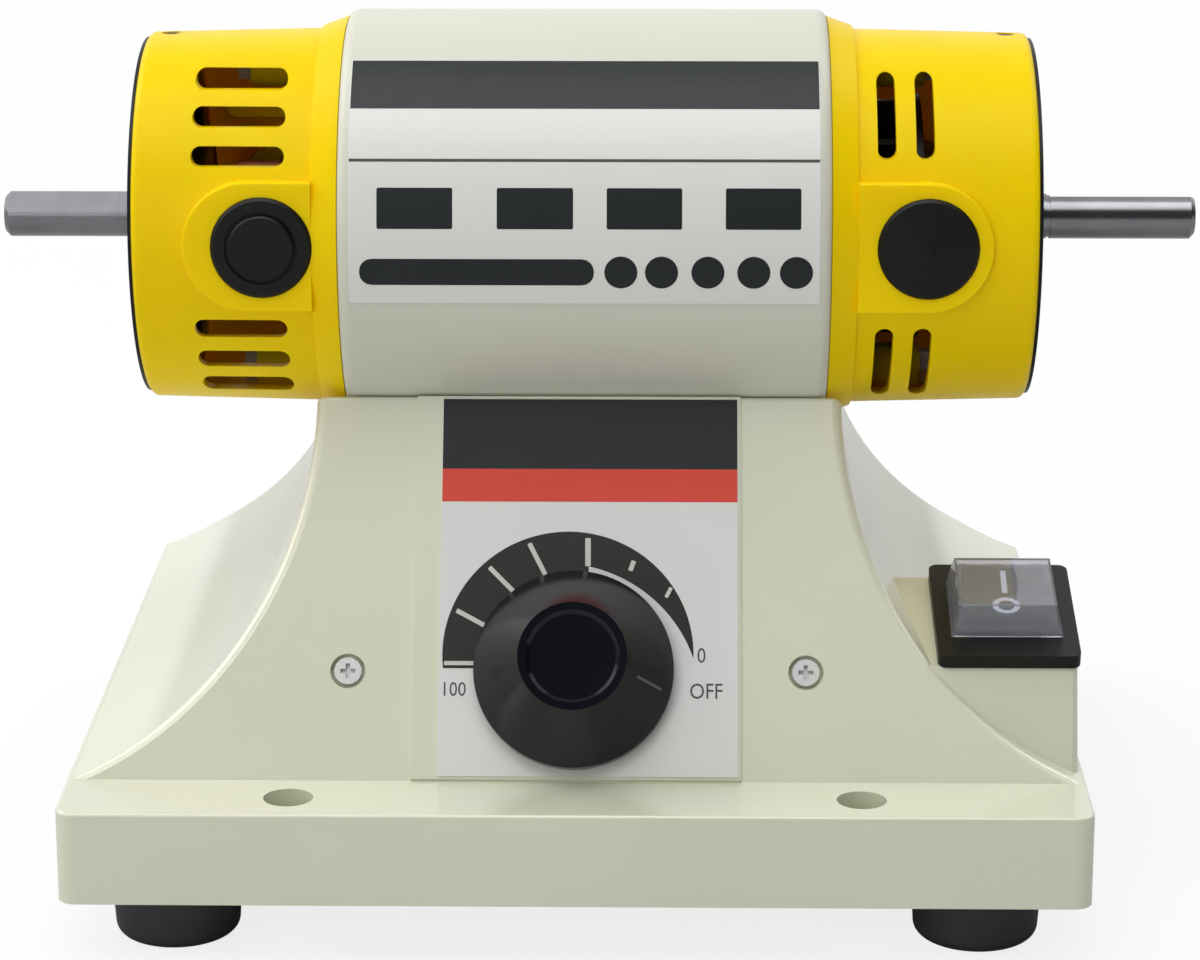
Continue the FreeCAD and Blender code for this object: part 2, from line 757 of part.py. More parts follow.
def make_base():
    outer = new_body("base_outer")
    pedestal(outer, ZERO, slab_bottom + CLEAR)
    round_edges(outer, "Fillet", "flank_rounding", S.flank_edge, on_flank)
    round_edges(outer, "Fillet", "saddle_rounding", S.saddle_edge, on_saddle_rim)

    seats = new_sketch(outer, "seat_plan", "XY_Plane", S.motor_z - seat_drop)
    for x, y in MOUNT_SPOTS:
        circle(seats, motor_x + x, S.motor_y + y, S.mount_seat)
    pull(outer, "Pad", "seats", seats, seat_drop - sleeve_radius + S.mount_entry)
    hollow = new_sketch(outer, "seat_hollow", "YZ_Plane")
    circle(hollow, S.motor_y, S.motor_z, S.sleeve_diameter)
    pull(outer, "Pocket", "seat_cut", hollow, S.base_width * 2, symmetric=True)

    switch_box(outer, ZERO, slab_top - CLEAR)
    round_edges(outer, "Fillet", "box_rounding", S.box_corner, on_box_corner)

    slab = new_body("base_slab")
    plan = new_sketch(slab, "slab_plan", "XY_Plane", slab_bottom)
    rectangle(plan, base_x, ZERO, S.base_width, S.base_depth)
    pull(slab, "Pad", "slab", plan, S.slab_height)
    round_edges(slab, "Fillet", "slab_rounding", S.slab_corner,
                lambda edge: edge.BoundBox.ZLength > S.slab_height.value / 2)
    round_edges(slab, "Fillet", "slab_edge_rounding", S.slab_edge,
                lambda edge: abs(edge.BoundBox.ZMin - slab_top.value) < 0.01)

    core = new_body("base_core")
    pedestal(core, S.base_wall, slab_top - S.base_wall - CLEAR)
    cavity = new_sketch(core, "cavity_plan", "XY_Plane", slab_bottom - CLEAR)
    rectangle(
        cavity, base_x, ZERO, S.base_width - S.base_wall * 2, S.base_depth - S.base_wall * 2)
    pull(core, "Pad", "cavity", cavity, S.slab_height - S.base_wall + CLEAR)
    switch_box(core, S.base_wall, slab_top - S.base_wall - CLEAR)
    columns = new_sketch(core, "column_plan", "XY_Plane", plate_top)
    for x, y in FOOT_SPOTS:
        circle(columns, base_x + x, y, S.foot_boss)
    for x, y in BENCH_SPOTS:
        circle(columns, base_x + x, y, S.bench_boss)
    pull(core, "Pocket", "columns", columns, S.motor_z, backwards=True)
    seat_roof = new_sketch(core, "seat_roof_plan", "XY_Plane", S.motor_z - seat_drop)
    for x, y in MOUNT_SPOTS:
        circle(seat_roof, motor_x + x, S.motor_y + y, S.mount_seat)
    pull(core, "Pocket", "seat_roof", seat_roof, S.motor_z, backwards=True)

    raised = block(
        "raised_panel", PANEL, ZERO, S.label_foot + label_length / 2, -S.base_wall / 2,
        S.pad_width, label_length + S.pad_margin, S.pad_rise)
    shell = cut("base_shell", fuse("base_body", [outer, slab, raised]), [core])

    tools = []
    for index, (x, y) in enumerate(BENCH_SPOTS):
        tools.append(rod("bench_hole_%d" % index, BASE, S.bench_hole, x, y,
                         slab_bottom - CLEAR, slab_top + CLEAR))
    for index, (x, y) in enumerate(FOOT_SPOTS):
        tools.append(rod("foot_hole_%d" % index, BASE, S.foot_screw + S.shaft_gap * 2, x, y,
                         slab_bottom - CLEAR, plate_top + S.foot_screw_depth))
    tools.append(block("plate_rebate", BASE, ZERO, ZERO, slab_bottom - CLEAR,
                       S.base_width - S.plate_inset * 2, S.base_depth - S.plate_inset * 2,
                       plate_top))
    tools.append(rod("bush_hole", KNOB, S.pot_bush + S.shaft_gap * 2, ZERO, ZERO,
                     -S.base_wall - CLEAR, S.pad_rise + CLEAR))
    for index, (x, y) in enumerate(PANEL_SCREW_SPOTS):
        tools.append(rod("screw_hole_%d" % index, PANEL, S.panel_screw + S.shaft_gap * 2, x, y,
                         -S.base_wall - CLEAR, CLEAR))
        tools.append(rod("screw_pocket_%d" % index, PANEL, S.panel_screw_pocket, x, y,
                         -S.panel_screw_sink, CLEAR))
    tools.append(block("switch_opening", SWITCH, ZERO, ZERO, -S.switch_depth - CLEAR,
                       S.switch_width + S.shaft_gap * 4, S.switch_length + S.shaft_gap * 4,
                       CLEAR))
    for index, (x, y) in enumerate(MOUNT_SPOTS):
        tools.append(rod("mount_hole_%d" % index, MOTOR, S.mount_screw + S.shaft_gap * 2, x, y,
                         -seat_drop - CLEAR, -sleeve_radius + S.mount_entry))
    tools.append(rod("lead_opening", MOTOR, S.lead_hole, ZERO, ZERO,
                     -seat_drop - CLEAR, -sleeve_radius))
    tools.append(rod("cord_opening", REAR, S.cord_bore + S.grommet_wall * 2, ZERO, ZERO,
                     -S.base_wall - CLEAR, CLEAR))
    keep(cut("base_casting", shell, tools))


# ---- floor plate and feet ----------------------------------------------------------


def cross_recess(body, name, offset, spots, head, depth, upwards):
    """A cross in each screw head: two slots at right angles."""
    for way, (wide, tall) in enumerate(((0.55, 0.16), (0.16, 0.55))):
        slots = new_sketch(body, "%s_cross_%d" % (name, way), "XY_Plane", offset)
        for x, y in spots:
            rectangle(slots, x, y, head * wide, head * tall)
        pull(body, "Pocket", "%s_slot_%d" % (name, way), slots, depth, backwards=upwards)


def make_screws(name, frame, spots, shank, head, head_thick, seat, tip):
    """Screws along a frame's Z, with heads under seat when the tip is higher."""
    body = frame.place(new_body(name))
    points_up = as_size(tip).value > as_size(seat).value
    shanks = new_sketch(body, name + "_shanks", "XY_Plane", seat)
    heads = new_sketch(body, name + "_heads", "XY_Plane", seat)
    for x, y in spots:
        circle(shanks, x, y, shank)
        circle(heads, x, y, head)
    length = as_size(tip) - seat if points_up else as_size(seat) - tip
    pull(body, "Pad", name + "_shank", shanks, length, backwards=not points_up)
    pull(body, "Pad", name + "_head", heads, head_thick, backwards=points_up)
    face = as_size(seat) - head_thick if points_up else as_size(seat) + head_thick
    cross_recess(body, name, face, spots, head, head_thick / 2, points_up)
    return keep(body)


def make_rings(name, frame, spots, outer, inner, low, thick):
    """Flat rings or washers, one at each spot."""
    body = frame.place(new_body(name))
    plan = new_sketch(body, name + "_plan", "XY_Plane", low)
    for x, y in spots:
        circle(plan, x, y, outer)
        circle(plan, x, y, inner)
    pull(body, "Pad", name + "_pad", plan, thick)
    return keep(body)


def make_nuts(name, frame, spots, across, bore, low, thick):
    """Hexagon nuts, one at each spot."""
    body = frame.place(new_body(name))
    plan = new_sketch(body, name + "_plan", "XY_Plane", low)
    for x, y in spots:
        hexagon(plan, x, y, across)
        circle(plan, x, y, bore)
    pull(body, "Pad", name + "_pad", plan, thick)
    return keep(body)


def make_floor():
    plate = BASE.place(new_body("bottom_plate"))
    edge = (S.plate_inset + S.plate_gap) * 2
    plan = new_sketch(plate, "plate_plan", "XY_Plane", slab_bottom)
    rectangle(plan, ZERO, ZERO, S.base_width - edge, S.base_depth - edge)
    for x, y in FOOT_SPOTS:
        circle(plan, x, y, S.foot_screw + S.shaft_gap * 2)
    for x, y in BENCH_SPOTS:
        circle(plan, x, y, S.bench_hole)
    pull(plate, "Pad", "plate", plan, S.plate_thickness)
    keep(plate)

    names = ("foot_front_left", "foot_rear_left", "foot_front_right", "foot_rear_right")
    for name, (x, y) in zip(names, FOOT_SPOTS):
        foot = BASE.place(new_body(name), x, y)
        half = S.foot_diameter / 2
        hole = S.foot_screw / 2 + S.shaft_gap
        side = new_sketch(foot, name + "_side", "XZ_Plane")
        polygon(side, [
            (hole, S.foot_recess_depth), (S.foot_recess / 2, S.foot_recess_depth),
            (S.foot_recess / 2, ZERO), (half - S.foot_taper, ZERO),
            (half, S.foot_height), (hole, S.foot_height)])
        turn(foot, "Revolution", name + "_body", side, axis="V_Axis")
        round_edges(foot, "Fillet", name + "_round", S.foot_round,
                    lambda edge: is_ring(edge, half - S.foot_taper))
        keep(foot)
    washer_low = S.foot_recess_depth - S.foot_washer_thick
    make_screws("foot_screws", BASE, FOOT_SPOTS, S.foot_screw, S.foot_head,
                S.foot_head_thick, washer_low, plate_top + S.foot_screw_depth - CLEAR)
    make_rings("foot_washers", BASE, FOOT_SPOTS, S.foot_washer, S.foot_screw + S.shaft_gap * 2,
               washer_low, S.foot_washer_thick)


# ---- rocker switch -----------------------------------------------------------------

half_swing = S.rocker_swing / 2
rocker_centre = S.rocker_rise + S.rocker_pivot
rocker_end = rocker_centre + tangent(half_swing) * S.rocker_length / 2
rocker_sweep = rocker_end * sine(half_swing)
ROCKER = Frame(*SWITCH.point(ZERO, ZERO, -S.rocker_pivot), S.box_tilt + half_swing)


def make_switch():
    body = SWITCH.place(new_body("switch_body"))
    bezel = new_sketch(body, "bezel_plan", "XY_Plane")
    rectangle(bezel, ZERO, ZERO, S.bezel_width, S.bezel_length)
    pull(body, "Pad", "bezel", bezel, S.bezel_thick)
    round_edges(body, "Fillet", "bezel_corners", S.bezel_round,
                lambda edge: edge.BoundBox.ZLength > S.bezel_thick.value / 2)
    case = new_sketch(body, "case_plan", "XY_Plane")
    rectangle(case, ZERO, ZERO, S.switch_width, S.switch_length)
    pull(body, "Pad", "case", case, S.switch_depth, backwards=True)
    well = new_sketch(body, "well_plan", "XY_Plane", S.bezel_thick)
    rectangle(well, ZERO, ZERO, S.rocker_width + S.rocker_gap * 2,
              S.rocker_length + (S.rocker_gap + rocker_sweep) * 2)
    pull(body, "Pocket", "well", well, S.bezel_thick + S.rocker_pivot * 4)
    pins = new_sketch(body, "pin_holes", "YZ_Plane")
    circle(pins, ZERO, -S.rocker_pivot, S.pivot_pin + S.shaft_gap * 2)
    pull(body, "Pocket", "pin_hole", pins, S.rocker_width + (S.pivot_reach + S.rocker_gap) * 2,
         symmetric=True)
    keep(body)

    blades = SWITCH.place(new_body("switch_terminals"))
    plan = new_sketch(blades, "blade_plan", "XY_Plane", -S.switch_depth)
    for i in (-1, 1):
        for j in (-1, 1):
            rectangle(plan, S.blade_pitch_x / 2 * i, S.blade_pitch_y / 2 * j,
                      S.blade_width, S.blade_thick)
    pull(blades, "Pad", "blades", plan, S.blade_length, backwards=True)
    keep(blades)

    rocker = ROCKER.place(new_body("switch_rocker"))
    half = S.rocker_length / 2
    foot = S.rocker_pivot
    side = new_sketch(rocker, "rocker_side", "YZ_Plane")
    polygon(side, [
        (-half, rocker_end), (ZERO, rocker_centre), (half, rocker_end),
        (half, rocker_end / 2), (half / 3, -foot), (-half / 3, -foot), (-half, rocker_end / 2)])
    pull(rocker, "Pad", "rocker", side, S.rocker_width, symmetric=True)
    pin = new_sketch(rocker, "pin_side", "YZ_Plane")
    circle(pin, ZERO, ZERO, S.pivot_pin)
    pull(rocker, "Pad", "pin", pin, S.rocker_width + S.pivot_reach * 2, symmetric=True)
    keep(rocker)

    outer = boot_form("boot_outer", ZERO)
    inner = boot_form("boot_inner", S.boot_wall)
    keep(cut("switch_boot", outer, [inner]))


def boot_form(name, inset):
    """The clear boot's outer or inner form: four leaning walls under a flat roof."""
    body = SWITCH.place(new_body(name))
    low = S.bezel_thick - CLEAR if inset.value else S.bezel_thick
    plan = new_sketch(body, name + "_plan", "XY_Plane", low)
    spread = tangent(S.boot_lean) * (S.bezel_thick - low) - inset
    rectangle(plan, ZERO, ZERO, S.boot_width + spread * 2, S.boot_length + spread * 2)
    walls = pull(body, "Pad", name + "_walls", plan, S.bezel_thick + S.boot_height - inset - low)
    bind(walls, "TaperAngle", -S.boot_lean)
    return body


# ---- speed control -----------------------------------------------------------------

bracket_face = -S.base_wall
bracket_back = bracket_face - S.bracket_thick
label_face = S.pad_rise + S.label_thick
board_face = bracket_back - S.board_gap
board_back = board_face - S.board_thick
BOARD = Frame(*KNOB.point(-S.knob_x, S.board_shift, ZERO), 90 - panel_lean)
POST_SPOTS = [
    (S.board_post_x * i, S.board_post_y * j - S.board_shift) for i in (-1, 1) for j in (-1, 1)]


def make_speed_control():
    label = PANEL.place(new_body("control_label"))
    plan = new_sketch(label, "label_plan", "XY_Plane", S.pad_rise)
    rectangle(plan, S.label_shift, S.label_foot + label_length / 2,
              S.label_width, label_length)
    circle(plan, S.knob_x, S.knob_up, S.pot_bush + S.shaft_gap * 2)
    pull(label, "Pad", "label", plan, S.label_thick)
    keep(label)

    knob = KNOB.place(new_body("speed_knob"))
    rim = S.knob_diameter / 2
    top = S.knob_top / 2
    base = label_face + S.knob_gap
    bore = S.pot_spindle / 2 + S.shaft_gap / 2
    roof = S.pot_reach + S.knob_gap
    hub_low = S.pot_bush_reach + CLEAR
    slope = (rim - top) / (S.knob_height - base - S.knob_rim)
    inner_top = roof - S.knob_wall / 2
    inner_rim = rim - S.knob_wall
    side = new_sketch(knob, "knob_side", "XZ_Plane")
    polygon(side, [
        (inner_rim, base), (rim, base), (rim, base + S.knob_rim), (top, S.knob_height),
        (top - S.knob_dish * 2, S.knob_height),
        (top - S.knob_dish * 3, S.knob_height - S.knob_dish),
        (ZERO, S.knob_height - S.knob_dish), (ZERO, roof), (bore, roof), (bore, hub_low),
        (S.knob_hub / 2, hub_low), (S.knob_hub / 2, inner_top),
        (inner_rim - slope * (inner_top - base - S.knob_rim), inner_top),
        (inner_rim, base + S.knob_rim)])
    turn(knob, "Revolution", "knob", side, axis="V_Axis")
    keep(knob)

    spindle = KNOB.place(new_body("potentiometer_spindle"))
    side = new_sketch(spindle, "spindle_side", "XZ_Plane")
    radius = S.pot_spindle / 2
    low = bracket_back - S.pot_depth / 2
    polygon(side, [
        (ZERO, low), (radius, low), (radius, S.pot_reach - S.shaft_gap * 10),
        (radius - S.shaft_gap * 10, S.pot_reach), (ZERO, S.pot_reach)])
    turn(spindle, "Revolution", "spindle", side, axis="V_Axis")
    keep(spindle)

    pot = KNOB.place(new_body("potentiometer_body"))
    side = new_sketch(pot, "pot_side", "XZ_Plane")
    hole = radius + S.shaft_gap
    bush = S.pot_bush / 2
    can = S.pot_body / 2
    polygon(side, [
        (hole, low - S.shaft_gap), (hole, S.pot_bush_reach), (bush, S.pot_bush_reach),
        (bush, bracket_back), (can, bracket_back), (can, bracket_back - S.pot_depth),
        (ZERO, bracket_back - S.pot_depth), (ZERO, low - S.shaft_gap)])
    turn(pot, "Revolution", "pot", side, axis="V_Axis")
    keep(pot)
    make_nuts("potentiometer_nut", KNOB, [(ZERO, ZERO)], S.pot_nut,
              S.pot_bush + S.shaft_gap * 2, label_face, S.pot_nut_thick)

    bracket = PANEL.place(new_body("control_bracket"))
    plan = new_sketch(bracket, "bracket_plan", "XY_Plane", bracket_back)
    rectangle(plan, ZERO, S.panel_screw_up, S.bracket_width, S.bracket_height)
    circle(plan, S.knob_x, S.knob_up, S.pot_bush + S.shaft_gap * 2)
    for x, y in PANEL_SCREW_SPOTS:
        circle(plan, x, y, S.panel_screw + S.shaft_gap * 2)
    pull(bracket, "Pad", "bracket", plan, S.bracket_thick)
    lips = new_sketch(bracket, "lip_plan", "XY_Plane", bracket_back)
    inset = (S.bracket_height - S.bracket_thick) / 2
    for way in (-1, 1):
        rectangle(lips, ZERO, S.panel_screw_up + inset * way, S.board_width, S.bracket_thick)
    pull(bracket, "Pad", "lips", lips, S.bracket_lip, backwards=True)
    keep(bracket)

    make_screws("panel_screws", PANEL, PANEL_SCREW_SPOTS, S.panel_screw, S.panel_screw_head,
                S.panel_screw_sink, -S.panel_screw_sink, -S.panel_screw_sink - S.panel_screw_length)
    make_nuts("panel_nuts", PANEL, PANEL_SCREW_SPOTS, S.panel_nut,
              S.panel_screw + S.shaft_gap * 2, bracket_back - S.panel_nut_thick,
              S.panel_nut_thick)


def make_board():
    board = BOARD.place(new_body("control_board"))
    plan = new_sketch(board, "board_plan", "XY_Plane", board_back)
    rectangle(plan, ZERO, ZERO, S.board_width, S.board_height)
    for x, y in POST_SPOTS:
        circle(plan, x, y, S.board_screw + S.shaft_gap * 2)
    pull(board, "Pad", "board", plan, S.board_thick)
    keep(board)
    make_rings("board_spacers", BOARD, POST_SPOTS, S.board_post,
               S.board_screw + S.shaft_gap * 2, board_face, S.board_gap)
    make_screws("board_screws", BOARD, POST_SPOTS, S.board_screw, S.board_screw_head,
                S.board_thick, board_back, bracket_back - S.board_thick)

    sink = BOARD.place(new_body("triac_heat_sink"))
    plan = new_sketch(sink, "sink_plan", "XY_Plane", board_back)
    rectangle(plan, -S.sink_x, S.board_shift, S.sink_width, S.sink_fin)
    step = (S.sink_width - S.sink_fin) / (S.sink_fins - 1)
    left = -S.sink_x - (S.sink_width - S.sink_fin) / 2
    for index in range(int(S.sink_fins.value)):
        rectangle(plan, left + step * index,
                  S.board_shift - (S.sink_fin + S.sink_height) / 2, S.sink_fin, S.sink_height)
    pull(sink, "Pad", "sink", plan, S.sink_depth, backwards=True)
    keep(sink)

    keep(block("filter_capacitor", BOARD, S.sink_x, -S.board_shift,
               board_back - S.capacitor_depth, S.capacitor_width, S.capacitor_height,
               board_back))
    choke = doc.addObject("Part::Torus", "filter_choke")
    bind(choke, "Radius1", (S.choke_diameter - S.choke_wire) / 2)
    bind(choke, "Radius2", S.choke_wire / 2)
    keep(BOARD.place(choke, S.choke_x, S.board_height / 4, board_back - S.choke_wire / 2))


# ---- motor shell -------------------------------------------------------------------

sleeve_half = S.sleeve_length / 2
collar_end = sleeve_half + S.collar_width
housing_end = sleeve_half + S.housing_length
end_face = housing_end + S.end_plate_rim
bore_radius = housing_radius - S.housing_wall
seat_radius = bore_radius - S.end_seat_step
pad_face = housing_radius + S.pad_reach
cap_floor = pad_face - S.cap_sink
stator_radius = sleeve_radius - S.sleeve_wall
rim_screw_x = housing_end - S.rim_screw_inset
end_radius = housing_radius - S.housing_draft
rim_radius = end_radius + S.housing_draft * S.rim_screw_inset / S.housing_length
bearing_far = end_face - S.bearing_cover
bearing_near = bearing_far - S.bearing_width
BOLT_SPOTS = [(ZERO, S.bolt_radius), (ZERO, -S.bolt_radius)]


def make_sleeve():
    sleeve = MOTOR.place(new_body("motor_sleeve"))
    side = new_sketch(sleeve, "sleeve_side", "XZ_Plane")
    polygon(side, [
        (-sleeve_half, stator_radius), (sleeve_half, stator_radius),
        (sleeve_half, sleeve_radius), (-sleeve_half, sleeve_radius)])
    turn(sleeve, "Revolution", "tube", side)
    round_edges(sleeve, "Fillet", "tube_round", S.sleeve_round,
                lambda edge: is_ring(edge, sleeve_radius))
    holes = new_sketch(sleeve, "sleeve_holes", "XY_Plane", -sleeve_radius - CLEAR)
    for x, y in MOUNT_SPOTS:
        circle(holes, x, y, S.mount_screw + S.shaft_gap * 2)
    circle(holes, ZERO, ZERO, S.lead_hole)
    pull(sleeve, "Pocket", "mount_holes", holes, S.mount_seat, backwards=True)
    keep(sleeve)

    middle = (S.motor_label_top_angle + S.motor_label_foot_angle) / 2
    frame = Frame(motor_x, S.motor_y, S.motor_z, 90 - middle)
    label = frame.place(new_body("motor_label"))
    side = new_sketch(label, "motor_label_side", "XZ_Plane")
    half = sleeve_half - S.motor_label_margin
    polygon(side, [
        (-half, sleeve_radius), (half, sleeve_radius),
        (half, sleeve_radius + S.motor_label_thick),
        (-half, sleeve_radius + S.motor_label_thick)])
    turn(label, "Revolution", "motor_label_skin", side, S.motor_label_top_angle - S.motor_label_foot_angle)
    keep(label)


def make_end_housing(name, way, cap_x, pad_shift, add_vents, open_socket):
    """A moulded end housing; way is -1 on the left and 1 on the right."""
    body = HOUSING.place(new_body(name))
    form = new_sketch(body, name + "_form", "XZ_Plane")
    spigot = stator_radius - S.spigot_gap
    polygon(form, [
        ((sleeve_half - S.spigot_depth) * way, ZERO),
        ((sleeve_half - S.spigot_depth) * way, spigot), (sleeve_half * way, spigot),
        (sleeve_half * way, sleeve_radius - S.collar_step),
        (collar_end * way, housing_radius + S.collar_lip),
        (collar_end * way, housing_radius),
        (housing_end * way, end_radius), (housing_end * way, ZERO)])
    turn(body, "Revolution", name + "_shell", form)
    round_edges(body, "Fillet", name + "_end_round", S.housing_round,
                lambda edge: is_ring(edge, end_radius))

    pad_x = (cap_x + pad_shift) * way
    bridge = new_sketch(body, name + "_bridge", "XZ_Plane")
    rectangle(bridge, (pad_x + collar_end * way) / 2, ZERO,
              cap_x + pad_shift - collar_end, S.pad_half * 2)
    pull(body, "Pad", name + "_bridge_pad", bridge, pad_face * 2, symmetric=True)
    crown = new_sketch(body, name + "_crown", "XZ_Plane")
    circle(crown, pad_x, ZERO, S.pad_half * 2)
    pull(body, "Pad", name + "_crown_pad", crown, pad_face * 2, symmetric=True)
    round_edges(body, "Fillet", name + "_pad_round", S.pad_edge, on_pad_outline)

    hollow = new_sketch(body, name + "_hollow", "XZ_Plane")
    seat = housing_end - S.end_seat_depth
    open_x = sleeve_half - S.spigot_depth - CLEAR
    polygon(hollow, [
        (open_x * way, ZERO), (open_x * way, spigot - S.spigot_wall),
        (sleeve_half * way, spigot - S.spigot_wall), (sleeve_half * way, bore_radius),
        (seat * way, bore_radius), (seat * way, seat_radius),
        ((housing_end + CLEAR) * way, seat_radius), ((housing_end + CLEAR) * way, ZERO)])
    turn(body, "Groove", name + "_bore", hollow)

    outer_skin = housing_radius - S.housing_wall / 2
    socket_low = S.socket_depth if open_socket else cap_floor - S.plug_floor
    for front in (True, False):
        side = "front" if front else "rear"
        toward = 1 if front else -1
        socket = new_sketch(body, "%s_%s_socket" % (name, side), "XZ_Plane", socket_low * toward)
        circle(socket, cap_x * way, ZERO, S.socket_diameter)
        pull(body, "Pad", "%s_%s_socket_pad" % (name, side), socket, outer_skin - socket_low,
             backwards=not front)
        recess = new_sketch(body, "%s_%s_recess" % (name, side), "XZ_Plane",
                            (pad_face + CLEAR) * toward)
        circle(recess, cap_x * way, ZERO, S.cap_diameter + S.cap_gap * 2)
        pull(body, "Pocket", "%s_%s_recess_cut" % (name, side), recess, S.cap_sink + CLEAR,
             backwards=not front)
        vents = new_sketch(body, "%s_%s_vents" % (name, side), "XZ_Plane")
        add_vents(vents, front)
        pull(body, "Pocket", "%s_%s_vent_cut" % (name, side), vents, S.housing_diameter,
             backwards=front)
    if open_socket:
        bore = new_sketch(body, name + "_socket_bore", "XZ_Plane")
        circle(bore, cap_x * way, ZERO, S.holder_diameter + S.spigot_gap * 2)
        pull(body, "Pocket", name + "_socket_cut", bore, S.housing_diameter * 2, symmetric=True)

    low_x = sleeve_half if way > 0 else -S.bolt_boss_end
    bosses = new_sketch(body, name + "_bosses", "YZ_Plane", low_x)
    for x, y in BOLT_SPOTS:
        circle(bosses, x, y, S.bolt_boss)
    pull(body, "Pad", name + "_boss_pad", bosses, S.bolt_boss_end - sleeve_half)
    bolts = new_sketch(body, name + "_bolt_holes", "YZ_Plane", low_x - CLEAR)
    for x, y in BOLT_SPOTS:
        circle(bolts, x, y, S.bolt_diameter + S.shaft_gap * 2)
    pull(body, "Pocket", name + "_bolt_cut", bolts, S.bolt_boss_end - sleeve_half + CLEAR * 2,
         backwards=True)

    holes = new_sketch(body, name + "_rim_holes", "XY_Plane")
    circle(holes, rim_screw_x * way, ZERO, S.rim_screw + S.shaft_gap * 2)
    pull(body, "Pocket", name + "_rim_cut", holes, S.housing_diameter * 2, symmetric=True)
    for upper in (1, -1):
        sink = new_sketch(body, "%s_sink_%d" % (name, upper + 1), "XY_Plane",
                          rim_radius * upper)
        circle(sink, rim_screw_x * way, ZERO, S.rim_screw_head + S.shaft_gap * 2)
        pull(body, "Pocket", "%s_sink_cut_%d" % (name, upper + 1), sink, S.rim_screw_sink,
             backwards=upper < 0)
    return keep(body)


def on_pad_outline(edge):
    """True for the straight and round outline of a raised pad's flat face."""
    box = edge.BoundBox
    if box.YLength > 0.01 or abs(abs(box.Center.y) - pad_face.value) > 0.01:
        return False
    straight = box.ZLength < 0.01 and abs(abs(box.Center.z) - S.pad_half.value) < 0.01
    return straight or is_ring(edge, S.pad_half)


def left_vents(sketch, front):
    """Three long slots above and three below the brush cap in front; behind, one of each
    three is left out, so that no line of sight runs through the motor."""
    heights = [S.vent_top, S.vent_low, -S.vent_mid, -S.vent_low]
    if front:
        heights += [S.vent_mid, -S.vent_top]
    for height in heights:
        long_slot(sketch, -S.vent_x, height, S.vent_length, S.vent_height)


def right_vents(sketch, front):
    """Two upright slots above and two below the plug, over the fan; behind, short ones,
    so that no line of sight runs through the motor."""
    low = S.slot_low if front else S.slot_high - S.slot_rear_length
    foot = S.slot_foot if front else S.slot_low + S.slot_rear_length
    for x in (S.slot_x, S.slot_x + S.slot_pitch):
        tall_slot(sketch, x, low, S.slot_high, S.slot_width)
        tall_slot(sketch, x, -foot, -S.slot_low, S.slot_width)


def make_end_plate(name, way, boss_rise):
    """A black end plate with the bearing's seat; the right one has a raised boss."""
    body = HOUSING.place(new_body(name))
    hole = S.end_hole / 2
    web = end_face - S.end_plate_web
    spigot = seat_radius - S.spigot_gap
    inner = spigot - S.end_plate_wall
    seat = housing_end - S.end_seat_depth + CLEAR
    bearing = S.bearing_outer / 2
    hub = bearing + S.hub_wall
    profile = [
        (bearing_far, hole), (bearing_far, bearing), (bearing_near, bearing),
        (bearing_near, hub), (web, hub), (web, inner), (seat, inner), (seat, spigot),
        (housing_end, spigot), (housing_end, S.end_plate_diameter / 2),
        (end_face, S.end_plate_diameter / 2)]
    if boss_rise is None:
        profile += [(end_face, hole)]
    else:
        boss = S.boss_diameter / 2
        profile += [
            (end_face, boss), (end_face + boss_rise / 2, boss),
            (end_face + boss_rise, boss - boss_rise / 2), (end_face + boss_rise, hole)]
    side = new_sketch(body, name + "_side", "XZ_Plane")
    polygon(side, [(x * way, r) for x, r in profile])
    turn(body, "Revolution", name + "_turned", side)
    for upper in (1, -1):
        hole = new_sketch(body, "%s_hole_%d" % (name, upper + 1), "XY_Plane",
                          (spigot + CLEAR) * upper)
        circle(hole, rim_screw_x * way, ZERO, S.rim_screw + S.shaft_gap * 2)
        pull(body, "Pocket", "%s_hole_cut_%d" % (name, upper + 1), hole,
             S.end_plate_wall + CLEAR * 2, backwards=upper < 0)
    return keep(body)


def make_rim_screws():
    """Radial screws, top and bottom, that hold each end plate in its housing."""
    body = HOUSING.place(new_body("rim_screws"))
    seat = rim_radius - S.rim_screw_sink
    heads = new_sketch(body, "rim_head_plan", "XY_Plane", seat)
    shanks = new_sketch(body, "rim_shank_plan", "XY_Plane", seat)
    for way in (-1, 1):
        circle(heads, rim_screw_x * way, ZERO, S.rim_screw_head)
        circle(shanks, rim_screw_x * way, ZERO, S.rim_screw)
    head = pull(body, "Pad", "rim_head", heads, S.rim_screw_sink * 0.8)
    shank = pull(body, "Pad", "rim_shank", shanks, S.rim_screw_length, backwards=True)
    pair = body.newObject("PartDesign::Mirrored", "rim_screw_pair")
    pair.Originals = [head, shank]
    pair.MirrorPlane = (origin_part(body, "XY_Plane"), [""])
    body.Tip = pair
    keep(body)


